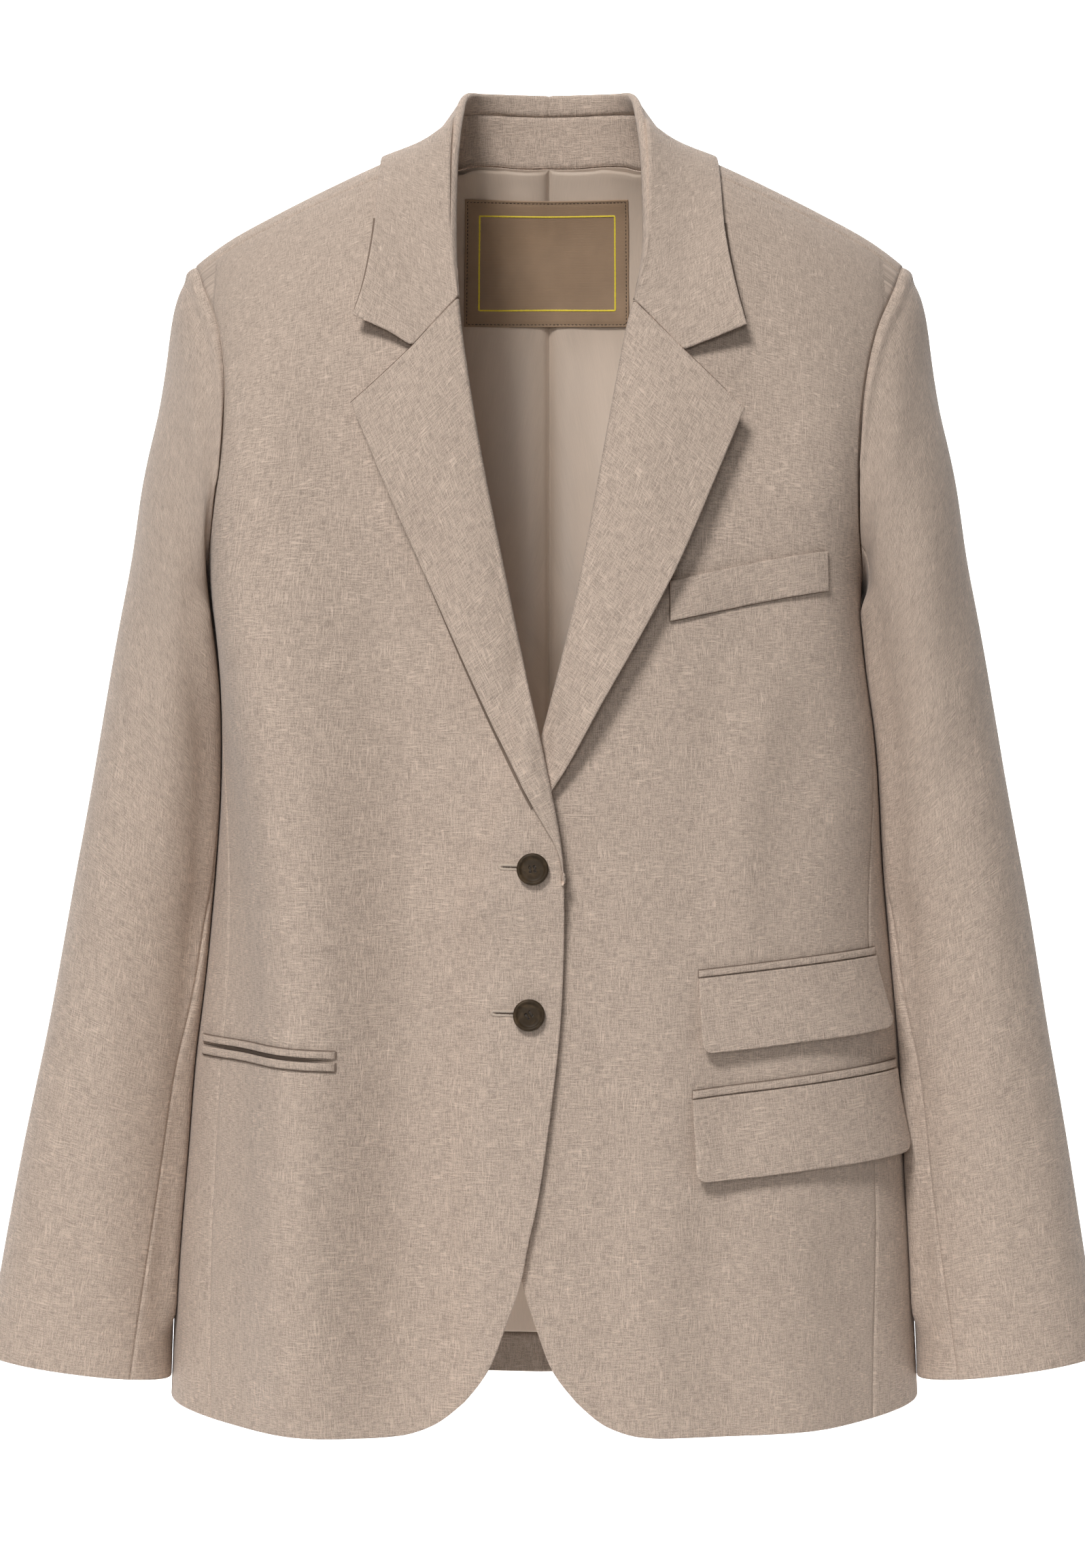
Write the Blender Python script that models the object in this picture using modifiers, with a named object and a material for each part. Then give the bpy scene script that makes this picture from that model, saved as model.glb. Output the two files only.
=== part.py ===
"""A single breasted blazer, filled out and hollow, as it keeps its form on a wearer.

Metres, +Z up. X is the wearer's left, -Y the front, and the origin lies between the two high points
of the shoulders, where the neck leaves the garment. Every piece of cloth is read from one body
surface: g runs round the body and h runs up it, over the shoulder.
"""

import math
from collections import namedtuple

import bmesh
import bpy
from mathutils import Vector

# Driving sizes
WALL = 0.002
LINING_WALL = 0.001
GAP = 0.0003
SIDE_GAP = 0.0012
SHOULDER_GAP = 0.0016
ARMHOLE_GAP = 0.0019
LINING_GAP = 0.0009
LABEL_GAP = 0.0026
ARMPIT_Z = -0.262
GIRTH_RADIUS = 0.2
RISE = 0.30
FRONT_BEND = 2.05
BACK_BEND = 2.4
SHOULDER_HALF = 0.221
SEAM_FORWARD = 0.17
SHOULDER_BOW = 0.004
HEM_SWING = -0.0036
SWING_TOP_Z = -0.45
SWING_LENGTH = 0.27
OVERLAP_LIFT = WALL + 0.0006
OVER_LAPEL_LIFT = 0.0062
UNDER_EDGE = 0.0186
# Columns of a panel stand closer to its front edge or to its side, where it bends most
CROWD_FRONT = 1.25
CROWD_SIDE = 1.2
BUTTON_RADIUS = 0.0094
BUTTON_THICKNESS = 0.0036
BUTTON_HOLE_RADIUS = 0.0008
BUTTON_HOLE_OFFSET = 0.0021

# The body, ring by ring: half of its width, its depth before and behind the axis, and how square it is
Ring = namedtuple("Ring", "z half_width front back square")
BODY = (
    Ring(-0.790, 0.2335, 0.1280, 0.118, 2.35),
    Ring(-0.660, 0.2265, 0.1270, 0.114, 2.35),
    Ring(-0.557, 0.2188, 0.1265, 0.111, 2.40),
    Ring(-0.455, 0.2091, 0.1260, 0.108, 2.40),
    Ring(-0.354, 0.1994, 0.1250, 0.106, 2.45),
    Ring(-0.262, 0.1923, 0.1220, 0.108, 2.50),
    Ring(-0.206, 0.2070, 0.1200, 0.110, 2.50),
    Ring(-0.157, 0.2205, 0.1185, 0.111, 2.50),
    Ring(-0.106, 0.2310, 0.1170, 0.112, 2.50),
    Ring(-0.060, 0.2390, 0.1160, 0.112, 2.50),
    Ring(0.060, 0.2480, 0.1140, 0.112, 2.50),
)

# Height of the shoulder, from the middle of the neck outwards
Crest = namedtuple("Crest", "x z")
SHOULDER = (
    Crest(0.000, 0.0500),
    Crest(0.030, 0.0440),
    Crest(0.055, 0.0280),
    Crest(0.078, 0.0115),
    Crest(0.104, 0.0007),
    Crest(0.134, -0.0132),
    Crest(0.168, -0.0302),
    Crest(0.199, -0.0472),
    Crest(0.221, -0.0635),
    Crest(0.245, -0.0850),
)

# Armhole seam seen from the front, and from the back
Mark = namedtuple("Mark", "x z")
ARMHOLE_FRONT = (
    Mark(0.2210, -0.0640),
    Mark(0.2131, -0.0780),
    Mark(0.2006, -0.1060),
    Mark(0.1932, -0.1320),
    Mark(0.1883, -0.1570),
    Mark(0.1858, -0.1820),
    Mark(0.1851, -0.2060),
    Mark(0.1864, -0.2300),
    Mark(0.1900, -0.2520),
    Mark(0.1923, -0.2620),
)
ARMHOLE_BACK = (
    Mark(0.2210, -0.0640),
    Mark(0.2150, -0.0780),
    Mark(0.2050, -0.1060),
    Mark(0.1985, -0.1320),
    Mark(0.1945, -0.1570),
    Mark(0.1920, -0.1820),
    Mark(0.1900, -0.2060),
    Mark(0.1895, -0.2300),
    Mark(0.1908, -0.2520),
    Mark(0.1923, -0.2620),
)

# Seams of the side body, as a share of the half width of the body there
Seam = namedtuple("Seam", "z share")
FRONT_SIDE_SEAM = (
    Seam(-0.775, 0.866),
    Seam(-0.630, 0.896),
    Seam(-0.515, 0.912),
    Seam(-0.441, 0.934),
    Seam(-0.354, 0.972),
    Seam(-0.2585, 0.992),
)
BACK_SIDE_SEAM = (
    Seam(-0.775, 0.820),
    Seam(-0.630, 0.845),
    Seam(-0.441, 0.880),
    Seam(-0.354, 0.915),
    Seam(-0.2585, 0.980),
)

# Height of the hem, by angle from the centre front
Hem = namedtuple("Hem", "angle z")
HEM = (
    Hem(0.00, -0.7720),
    Hem(0.75, -0.7715),
    Hem(1.25, -0.7650),
    Hem(1.57, -0.7628),
    Hem(2.00, -0.7650),
    Hem(3.15, -0.7676),
)

# Centre front line, which leans towards the wearer's right
CENTRE_FRONT = (Mark(-0.0144, -0.775), Mark(-0.0102, -0.445), Mark(-0.0060, -0.360), Mark(-0.0038, -0.200))

# Front edge below the roll: how far it stands out past the centre front line
Edge = namedtuple("Edge", "out z")
FRONT_EDGE = (
    Edge(-0.0335, -0.7505),
    Edge(-0.0191, -0.7319),
    Edge(-0.0088, -0.7054),
    Edge(-0.0004, -0.6801),
    Edge(0.0036, -0.6568),
    Edge(0.0096, -0.6247),
    Edge(0.0164, -0.5600),
    Edge(0.0190, -0.5190),
    Edge(0.0194, -0.4760),
    Edge(0.0186, -0.4450),
)
HEM_CURVE = (Edge(-0.0335, -0.7505), Edge(-0.0483, -0.7631), Edge(-0.0645, -0.7699), Edge(-0.0800, -0.7720))

# Roll line and outer edge of each lapel, from its lower end up. The left one ends under the right front
ROLL = {
    "right": (
        Mark(0.0084, -0.4450),
        Mark(0.0076, -0.4282),
        Mark(0.0042, -0.4053),
        Mark(-0.0050, -0.3603),
        Mark(-0.0211, -0.2849),
        Mark(-0.0398, -0.1918),
        Mark(-0.0505, -0.1259),
        Mark(-0.0543, -0.0932),
    ),
    "left": (
        Mark(-0.0288, -0.4450),
        Mark(-0.0262, -0.4280),
        Mark(-0.0185, -0.4050),
        Mark(-0.0050, -0.3566),
        Mark(0.0155, -0.2733),
        Mark(0.0341, -0.1735),
        Mark(0.0447, -0.1165),
        Mark(0.0503, -0.0950),
    ),
}
LAPEL_EDGE = {
    "right": (
        Mark(0.0080, -0.4400),
        Mark(0.0034, -0.4222),
        Mark(-0.0123, -0.3936),
        Mark(-0.0328, -0.3522),
        Mark(-0.0562, -0.3010),
        Mark(-0.0818, -0.2431),
        Mark(-0.0944, -0.2133),
        Mark(-0.1076, -0.1808),
        Mark(-0.1168, -0.1580),
    ),
    "left": (
        Mark(-0.0250, -0.4400),
        Mark(-0.0190, -0.4222),
        Mark(0.0010, -0.3888),
        Mark(0.0110, -0.3727),
        Mark(0.0296, -0.3381),
        Mark(0.0526, -0.2966),
        Mark(0.0761, -0.2500),
        Mark(0.0994, -0.1961),
        Mark(0.1136, -0.1622),
    ),
}
NOTCH = {"right": Mark(-0.0815, -0.1238), "left": Mark(0.0787, -0.1267)}
COLLAR_POINT = {"right": Mark(-0.1166, -0.1057), "left": Mark(0.1166, -0.1112)}
COLLAR_END = {"right": Mark(-0.0959, -0.1147), "left": Mark(0.0984, -0.1188)}

# Neck seam on the left half: on the back from its middle, then on the front down to the gorge
NECK_BACK = (Mark(0.000, 0.0085), Mark(0.025, 0.0083), Mark(0.048, 0.0080), Mark(0.066, 0.0078))
NECK_FRONT = (Mark(0.0765, -0.0040), Mark(0.0735, -0.0250), Mark(0.0665, -0.0550), Mark(0.0590, -0.0800))

# Fold of the collar on the right half, from the middle of the back to the gorge
Place = namedtuple("Place", "x y z")
FOLD = (
    Place(0.0000, 0.0660, 0.0549),
    Place(0.0240, 0.0620, 0.0549),
    Place(0.0420, 0.0500, 0.0535),
    Place(0.0526, 0.0280, 0.0496),
    Place(0.0563, -0.0050, 0.0323),
    Place(0.0580, -0.0400, 0.0056),
    Place(0.0582, -0.0660, -0.0268),
    Place(0.0574, -0.0860, -0.0611),
)
# Outer edge of the collar, from the middle of the back over the shoulder to the front
COLLAR_EDGE = (
    Place(0.0000, 0.0990, -0.0150),
    Place(0.0500, 0.0930, -0.0130),
    Place(0.0860, 0.0700, -0.0080),
    Place(0.1010, 0.0300, 0.0035),
    Place(0.1040, -0.0100, 0.0040),
    Place(0.1048, -0.0400, -0.0146),
    Place(0.1060, -0.0700, -0.0500),
    Place(0.1110, -0.0850, -0.0820),
)
STAND_END = 0.556
FOLD_RADIUS = 0.0030
STAND_TOP = 0.70
STAND_START = 0.0046
STAND_SEAM = 0.0011
STAND_DROP = 0.0020
COLLAR_LIFT = 0.0042

# Sleeve, section by section: outer and inner line seen from the front, then its middle and half depth
Cuff = namedtuple("Cuff", "at outer_x outer_z inner_x inner_z middle half_depth")
SLEEVE = (
    Cuff(0.00, 0.2225, -0.0660, 0.1935, -0.2640, 0.000, 0.072),
    Cuff(0.06, 0.2330, -0.0860, 0.1957, -0.2720, 0.000, 0.075),
    Cuff(0.14, 0.2405, -0.1270, 0.1968, -0.2880, 0.001, 0.077),
    Cuff(0.22, 0.2480, -0.1690, 0.1985, -0.3080, 0.002, 0.077),
    Cuff(0.32, 0.2575, -0.2280, 0.1995, -0.3400, 0.002, 0.074),
    Cuff(0.44, 0.2700, -0.3060, 0.2039, -0.3900, 0.001, 0.069),
    Cuff(0.56, 0.2850, -0.3900, 0.2096, -0.4500, -0.002, 0.063),
    Cuff(0.68, 0.3000, -0.4780, 0.2163, -0.5200, -0.007, 0.058),
    Cuff(0.84, 0.3210, -0.6010, 0.2249, -0.6280, -0.014, 0.052),
    Cuff(1.00, 0.3440, -0.7345, 0.2346, -0.7500, -0.022, 0.047),
)
SLEEVE_BLEND = 0.30
FRONT_SLEEVE_SEAM = ((0.0, 2.45), (0.5, 2.65), (0.8, 2.50), (1.0, 2.26))
BACK_SLEEVE_SEAM = ((0.0, 4.10), (0.5, 3.95), (1.0, 3.90))

# Pockets, seen from the front: upper left, upper right, lower right and lower left corners
CHEST_WELT = (Mark(0.0712, -0.2642), Mark(0.1624, -0.2440), Mark(0.1625, -0.2686), Mark(0.0712, -0.2884))
TICKET_JET = (Mark(0.0883, -0.4952), Mark(0.1975, -0.4836), Mark(0.1975, -0.4886), Mark(0.0883, -0.4997))
TICKET_FLAP = (Mark(0.0883, -0.5001), Mark(0.1979, -0.4890), Mark(0.2040, -0.5328), Mark(0.0902, -0.5446))
HIP_JET = (Mark(0.0859, -0.5665), Mark(0.2125, -0.5527), Mark(0.2125, -0.5583), Mark(0.0860, -0.5716))
HIP_FLAP = (Mark(0.0860, -0.5720), Mark(0.2130, -0.5587), Mark(0.2175, -0.6090), Mark(0.0885, -0.6209))
UPPER_JET = (Mark(-0.2098, -0.5375), Mark(-0.1184, -0.5427), Mark(-0.1184, -0.5475), Mark(-0.2098, -0.5422))
LOWER_JET = (Mark(-0.2098, -0.5440), Mark(-0.1184, -0.5493), Mark(-0.1184, -0.5547), Mark(-0.2098, -0.5497))
JET_LIFT = 0.0024
FLAP_LIFT = 0.0028
FLAP_HANG = 0.0030
WELT_LIFT = 0.0028

# Lining and label
LINING_END_Z = -0.7412
LABEL = (Mark(-0.0533, -0.0114), Mark(0.0533, -0.0114), Mark(0.0533, -0.0902), Mark(-0.0533, -0.0902))

BUTTONS = {"button_upper": Mark(-0.0099, -0.4350), "button_lower": Mark(-0.0115, -0.5210)}

# Colours as red, green and blue, with roughness
Finish = namedtuple("Finish", "red green blue rough")
CLOTH = Finish(0.47, 0.37, 0.30, 0.90)
CLOTH_SHADE = Finish(0.42, 0.33, 0.26, 0.90)
COLLAR_CLOTH = Finish(0.52, 0.42, 0.34, 0.90)
LINING = Finish(0.34, 0.26, 0.20, 0.55)
LABEL_CLOTH = Finish(0.21, 0.14, 0.09, 0.65)
BUTTON = Finish(0.06, 0.04, 0.03, 0.45)


def smooth(rows, at):
    """The values of a table at a key: a curve through its rows, whose first column is the key."""
    last = len(rows) - 1
    step = 0
    while step < last - 1 and at > rows[step + 1][0]:
        step += 1
    low, high = rows[step], rows[step + 1]
    span = high[0] - low[0]
    share = min(1.0, max(0.0, (at - low[0]) / span))
    before, after = rows[max(0, step - 1)], rows[min(last, step + 2)]
    values = []
    for column in range(1, len(low)):
        start = (high[column] - before[column]) / (high[0] - before[0]) * span
        end = (after[column] - low[column]) / (after[0] - low[0]) * span
        square, cube = share * share, share**3
        values.append(
            (2 * cube - 3 * square + 1) * low[column]
            + (cube - 2 * square + share) * start
            + (3 * square - 2 * cube) * high[column]
            + (cube - square) * end
        )
    return values


def ease(low, high, at):
    share = min(1.0, max(0.0, (at - low) / (high - low)))
    return share * share * (3 - 2 * share)


BODY_ROWS = tuple(tuple(ring) for ring in BODY)


def body_ring(z):
    return smooth(BODY_ROWS, max(BODY[0].z, min(BODY[-1].z, z)))


def crest(x):
    return smooth(SHOULDER, min(abs(x), SHOULDER[-1].x))[0]


def depth_at(x, z, behind):
    half_width, front, back, square = body_ring(z)
    share = min(1.0, abs(x) / half_width)
    return (back if behind else front) * (1 - share**square) ** (1 / square)


def body(g, h):
    """A point of the body surface. g is its girth from the centre front, and h its height along the cloth."""
    angle = g / GIRTH_RADIUS
    behind = abs(angle) > math.pi / 2
    if h <= 0:
        z = ARMPIT_Z + h
        x = body_ring(z)[0] * math.sin(angle)
        depth = depth_at(x, z, behind)
        return Vector((x, depth if behind else -depth, z))
    turn = h / RISE * math.pi / 2
    if turn > math.pi / 2:
        turn = math.pi - turn
        behind = not behind
    bend = BACK_BEND if behind else FRONT_BEND
    rise = math.sin(turn) ** (2 / bend)
    x = SHOULDER_HALF * math.sin(angle)
    for _ in range(8):
        z = ARMPIT_Z + (crest(x) - ARMPIT_Z) * rise
        x = body_ring(z)[0] * math.sin(angle)
    depth = depth_at(x, z, behind) * max(0.0, math.cos(turn)) ** (2 / bend)
    return Vector((x, depth if behind else -depth, z))


def girth(x, z, behind=False):
    """(g, h) of the body point with this x and z."""
    half_width = body_ring(z)[0]
    angle = math.asin(max(-1.0, min(1.0, x / half_width)))
    if behind:
        angle = math.copysign(math.pi, x) - angle if x else math.pi
    if z <= ARMPIT_Z:
        return (angle * GIRTH_RADIUS, z - ARMPIT_Z)
    bend = BACK_BEND if behind else FRONT_BEND
    share = min(1.0, (z - ARMPIT_Z) / (crest(x) - ARMPIT_Z))
    turn = math.asin(share ** (bend / 2))
    return (angle * GIRTH_RADIUS, turn * RISE / (math.pi / 2))


def outward(g, h):
    """The direction away from the body at a point of its surface."""
    step = 0.0008
    across = body(g + step, h) - body(g - step, h)
    up = body(g, h + step) - body(g, h - step)
    normal = across.cross(up).normalized()
    point = body(g, h)
    away = Vector((point.x, point.y, 0.3 * max(0.0, point.z - ARMPIT_Z)))
    return normal if normal.dot(away) > 0 else -normal


def off_body(g, h, lift):
    return body(g, h) + outward(g, h) * lift


# Curves and patches


def through(points, steps=6):
    """A smooth row of points through the given ones."""
    points = [Vector(point) for point in points]
    row = []
    for index in range(len(points) - 1):
        before = points[max(0, index - 1)]
        low, high = points[index], points[index + 1]
        after = points[min(len(points) - 1, index + 2)]
        for step in range(steps):
            share = step / steps
            square, cube = share * share, share**3
            row.append(
                (2 * cube - 3 * square + 1) * low
                + (cube - 2 * square + share) * (high - before) * 0.5
                + (3 * square - 2 * cube) * high
                + (cube - square) * (after - low) * 0.5
            )
    row.append(points[-1])
    return row


def along(row):
    """A function from 0 to 1 that walks evenly along a row of points."""
    lengths = [0.0]
    for low, high in zip(row, row[1:]):
        lengths.append(lengths[-1] + (high - low).length)

    def walk(share):
        target = min(1.0, max(0.0, share)) * lengths[-1]
        index = 0
        while index < len(row) - 2 and lengths[index + 1] < target:
            index += 1
        span = max(1e-9, lengths[index + 1] - lengths[index])
        return row[index].lerp(row[index + 1], (target - lengths[index]) / span)

    return walk


def patch(bottom, top, inner, outer):
    """A surface between four edges, each a function from 0 to 1. Its own s runs across, t runs up."""
    corners = (bottom(0), bottom(1), top(0), top(1))

    def place(s, t):
        edges = (1 - t) * bottom(s) + t * top(s) + (1 - s) * inner(t) + s * outer(t)
        low = (1 - s) * corners[0] + s * corners[1]
        high = (1 - s) * corners[2] + s * corners[3]
        return edges - (1 - t) * low - t * high

    return place


def inset(place, s_gaps, t_gaps):
    """The same patch, narrowed by a gap at each of its edges."""

    def narrowed(s, t):
        width = max(0.004, (place(1, t) - place(0, t)).length)
        height = max(0.004, (place(s, 1) - place(s, 0)).length)
        s = s_gaps[0] / width + s * (1 - (s_gaps[0] + s_gaps[1]) / width)
        t = t_gaps[0] / height + t * (1 - (t_gaps[0] + t_gaps[1]) / height)
        return place(s, t)

    return narrowed


def swing(point):
    """The whole garment hangs a little to the wearer's right below the waist."""
    return Vector((point.x + HEM_SWING * ease(0.0, SWING_LENGTH, SWING_TOP_Z - point.z), point.y, point.z))


def material_for(name, finish):
    material = bpy.data.materials.new(name)
    material.use_nodes = True
    shader = material.node_tree.nodes["Principled BSDF"]
    shader.inputs["Base Color"].default_value = (finish.red, finish.green, finish.blue, 1)
    shader.inputs["Roughness"].default_value = finish.rough
    shader.inputs["Metallic"].default_value = 0
    material.diffuse_color = (finish.red, finish.green, finish.blue, 1)
    return material


def add_object(name, mesh, finish):
    mesh.materials.append(material_for(name, finish))
    piece = bpy.data.objects.new(name, mesh)
    bpy.data.collections["blazer"].objects.link(piece)
    return piece


def sheet(name, place, columns, rows, finish, wall=WALL, axis=None):
    """One piece of cloth: an open grid laid on a surface, its outer face, with a wall turned inwards."""
    grid = bmesh.new()
    bmesh.ops.create_grid(grid, x_segments=columns, y_segments=rows, size=0.5)
    for vertex in grid.verts:
        vertex.co = swing(place(vertex.co.x + 0.5, vertex.co.y + 0.5))
    grid.normal_update()
    out = 0.0
    for face in grid.faces:
        centre = face.calc_center_median()
        middle = axis(centre) if axis else Vector((0, 0, centre.z - 0.03))
        out += face.normal.dot(centre - middle) * face.calc_area()
    if out < 0:
        bmesh.ops.reverse_faces(grid, faces=grid.faces)
    mesh = bpy.data.meshes.new(name)
    grid.to_mesh(mesh)
    grid.free()
    mesh.shade_smooth()
    piece = add_object(name, mesh, finish)
    thick = piece.modifiers.new("Wall", "SOLIDIFY")
    thick.thickness = wall
    thick.offset = -1
    return piece


# Lines of the body in (g, h)


def mark_gh(mark, behind=False):
    return Vector(girth(mark.x, mark.z, behind))


def centre_front(z):
    rows = sorted((mark.z, mark.x) for mark in CENTRE_FRONT)
    return smooth(rows, max(rows[0][0], min(rows[-1][0], z)))[0]


def front_edge_line(side):
    """x and z along one front, from the turn of its hem up to where the lapel begins."""
    sign = 1 if side == "right" else -1
    return [Mark(centre_front(edge.z) + sign * edge.out, edge.z) for edge in FRONT_EDGE]


def hem_line(side):
    """The hem of one front as (g, h), from the turn at its front edge to the side seam."""
    sign = -1 if side == "right" else 1
    turn = [
        Vector(girth(centre_front(edge.z) + (1 if side == "right" else -1) * edge.out, edge.z))
        for edge in HEM_CURVE
    ]
    last = abs(turn[-1].x)
    end = seam_angle(FRONT_SIDE_SEAM, hem_z(1.1)) * GIRTH_RADIUS
    for step in range(1, 9):
        g = last + (end - last) * step / 8
        turn.append(Vector((sign * g, hem_z(g / GIRTH_RADIUS) - ARMPIT_Z)))
    return through(turn, 4)


def hem_z(angle):
    return smooth(HEM, abs(angle))[0]


def seam_angle(seam, z):
    return math.asin(min(0.999, smooth(seam, max(seam[0].z, min(seam[-1].z, z)))[0]))


def side_seam(seam, sign, behind):
    """A seam of the side body as (g, h), from the hem to the armhole."""
    row = []
    for step in range(13):
        z = seam[0].z + (seam[-1].z - seam[0].z) * step / 12
        angle = seam_angle(seam, z)
        if behind:
            angle = math.pi - angle
        if step == 0:
            z = hem_z(angle)
        h = z - ARMPIT_Z
        if z > ARMPIT_Z:
            h = girth(body_ring(z)[0] * math.sin(angle), z, behind)[1]
        row.append(Vector((sign * angle * GIRTH_RADIUS, h)))
    armhole = armhole_row(sign, behind)
    row[-1] = armhole[nearest(armhole, row[-1].y)]
    return row


def armhole_row(sign, behind):
    """The armhole as (g, h), from the shoulder down to the armpit."""
    marks = ARMHOLE_BACK if behind else ARMHOLE_FRONT
    top = Vector((sign * math.asin(SHOULDER_HALF / body_ring(marks[0].z)[0]) * GIRTH_RADIUS, RISE))
    if behind:
        top.x = sign * math.pi * GIRTH_RADIUS - top.x
    row = [top] + [mark_gh(Mark(sign * mark.x, mark.z), behind) for mark in marks[1:-1]]
    row.append(Vector((sign * math.pi / 2 * GIRTH_RADIUS, 0)))
    return through(row, 6)


def nearest(row, height):
    """Index of the point of a row whose h is nearest."""
    return min(range(len(row)), key=lambda index: abs(row[index].y - height))


def shoulder_seam(sign):
    """The shoulder seam as (g, h) of the front, from the neck to the armhole, forward of the crest."""
    row = armhole_row(sign, False)
    h_end = RISE * (1 - SEAM_FORWARD)
    end = row[nearest(row, h_end)]
    start = mark_gh(Mark(sign * NECK_FRONT[0].x, NECK_FRONT[0].z + 0.0025))
    return [
        start.lerp(end, step / 8) + Vector((0, SHOULDER_BOW * math.sin(step / 8 * math.pi)))
        for step in range(9)
    ]


def neck_front(side):
    """The neck seam of one front as (g, h), from the gorge up to the shoulder seam."""
    sign = -1 if side == "right" else 1
    marks = [ROLL[side][-1]] + [Mark(sign * mark.x, mark.z) for mark in reversed(NECK_FRONT)]
    return through([mark_gh(mark) for mark in marks] + [shoulder_seam(sign)[0]], 4)


def neck_back(sign):
    """The neck seam of one half of the back as (g, h), from its middle to the shoulder seam."""
    neck = [Vector(girth(sign * max(mark.x, 1e-6), mark.z, True)) for mark in NECK_BACK]
    return through(neck + [to_back(shoulder_seam(sign)[0])], 5)


def to_back(point):
    """The (g, h) that the back panel gives a point of the front, past the crest of the shoulder."""
    sign = 1 if point.x > 0 else -1
    return Vector((sign * math.pi * GIRTH_RADIUS - point.x, 2 * RISE - point.y))


# Panels


def front_patch(side):
    """The cut of one front in (g, h). s runs from the front edge to the side, t from the hem up."""
    sign = -1 if side == "right" else 1
    armhole = armhole_row(sign, False)
    shoulder = shoulder_seam(sign)
    seam = side_seam(FRONT_SIDE_SEAM, sign, False)
    edge = [mark_gh(mark) for mark in front_edge_line(side)]
    roll = [mark_gh(mark) for mark in ROLL[side]]
    inner = through(edge, 4)[:-1] + through(roll, 4)[:-1] + neck_front(side)
    start = nearest(armhole, shoulder[-1].y)
    stop = nearest(armhole, seam[-1].y)
    outer = through(seam, 2)[:-1] + list(reversed(armhole[start : stop + 1]))
    return patch(along(hem_line(side)), along(through(shoulder, 2)), along(inner), along(outer))


def overlap_lift(x, z):
    """How far the right front stands off the body where it lies over the left one and its lapel."""
    low = centre_front(z) - UNDER_EDGE
    over = ease(low - 0.030, low - 0.004, x)
    if z > ROLL["left"][0].z:
        rows = [(mark.z, mark.x) for mark in ROLL["left"]]
        edge = smooth(rows, min(z, rows[-1][0]))[0]
        over = ease(edge - 0.026, edge - 0.003, x)
    lapel = ease(-0.485, -0.448, z)
    return over * (OVERLAP_LIFT + lapel * OVER_LAPEL_LIFT)


def front_place(side, lift=0.0):
    cut = inset(front_patch(side), (0, SIDE_GAP / 2), (0, SHOULDER_GAP / 2))

    def place(s, t):
        g, h = cut(s**CROWD_FRONT, t)
        extra = overlap_lift(body(g, h).x, body(g, h).z) if side == "right" else 0.0
        return off_body(g, h, lift + extra)

    return place


def back_patch(sign):
    """The cut of half of the back in (g, h). s runs from the centre seam to the side, t from the hem up."""
    armhole = armhole_row(sign, True)
    front_armhole = armhole_row(sign, False)
    shoulder = [to_back(point) for point in shoulder_seam(sign)]
    seam = side_seam(BACK_SIDE_SEAM, sign, True)
    middle = sign * math.pi * GIRTH_RADIUS
    end = nearest(front_armhole, shoulder_seam(sign)[-1].y)
    over = [to_back(point) for point in front_armhole[1 : end + 1]]
    stop = nearest(armhole, seam[-1].y)
    outer = through(seam, 2)[:-1] + list(reversed(armhole[: stop + 1])) + over
    neck = neck_back(sign)
    top = neck[:-1] + shoulder
    hem = []
    for step in range(11):
        g = middle + (seam[0].x - middle) * step / 10
        hem.append(Vector((g, hem_z(g / GIRTH_RADIUS) - ARMPIT_Z)))
    inner = [Vector((middle, hem[0].y)), Vector((middle, neck[0].y))]
    return patch(along(hem), along(top), along(inner), along(outer))


def back_place(sign, lift=0.0, shorten=1.0):
    cut = inset(back_patch(sign), (GAP * 0.8, SIDE_GAP), (0, SHOULDER_GAP / 2))

    def place(s, t):
        g, h = cut(1 - (1 - s) ** CROWD_SIDE, t)
        return off_body(g, h * shorten if h < 0 else h, lift)

    return place


def side_patch(sign):
    front = side_seam(FRONT_SIDE_SEAM, sign, False)
    back = side_seam(BACK_SIDE_SEAM, sign, True)
    hem = []
    for step in range(9):
        g = front[0].x + (back[0].x - front[0].x) * step / 8
        hem.append(Vector((g, hem_z(g / GIRTH_RADIUS) - ARMPIT_Z)))
    low_front = armhole_row(sign, False)
    low_back = armhole_row(sign, True)
    top = low_front[nearest(low_front, front[-1].y) :] + list(
        reversed(low_back[nearest(low_back, back[-1].y) : -1])
    )
    return patch(along(hem), along(top), along(through(front, 2)), along(through(back, 2)))


def side_place(sign):
    cut = inset(side_patch(sign), (SIDE_GAP / 2, SIDE_GAP / 2), (0, SIDE_GAP / 2))

    def place(s, t):
        g, h = cut(s, t)
        return body(g, h)

    return place


# Sleeves

SLEEVE_ROWS = tuple(tuple(cuff) for cuff in SLEEVE)


def armhole_loop(sign):
    """A function of the angle round the armhole: 0 on the shoulder, then forward, under and behind."""
    front = along([body(*point) for point in armhole_row(sign, False)])
    back = along([body(*point) for point in armhole_row(sign, True)])

    def at(angle):
        angle %= 2 * math.pi
        if angle <= math.pi:
            return front(angle / math.pi)
        return back(2 - angle / math.pi)

    return at


def sleeve_place(sign):
    loop = armhole_loop(sign)

    def oval(at, angle):
        outer_x, outer_z, inner_x, inner_z, middle, half_depth = smooth(SLEEVE_ROWS, at)
        reach = (1 + math.cos(angle)) / 2
        x = inner_x + (outer_x - inner_x) * reach
        z = inner_z + (outer_z - inner_z) * reach
        bulge = math.sin(angle)
        return Vector((sign * x, middle - half_depth * math.copysign(abs(bulge) ** 0.94, bulge), z))

    def place(at, angle):
        share = 1 - ease(0.0, SLEEVE_BLEND, at)
        point = oval(at, angle)
        shift = loop(angle) - oval(0.0, angle)
        return point + shift * share

    return place


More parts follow.
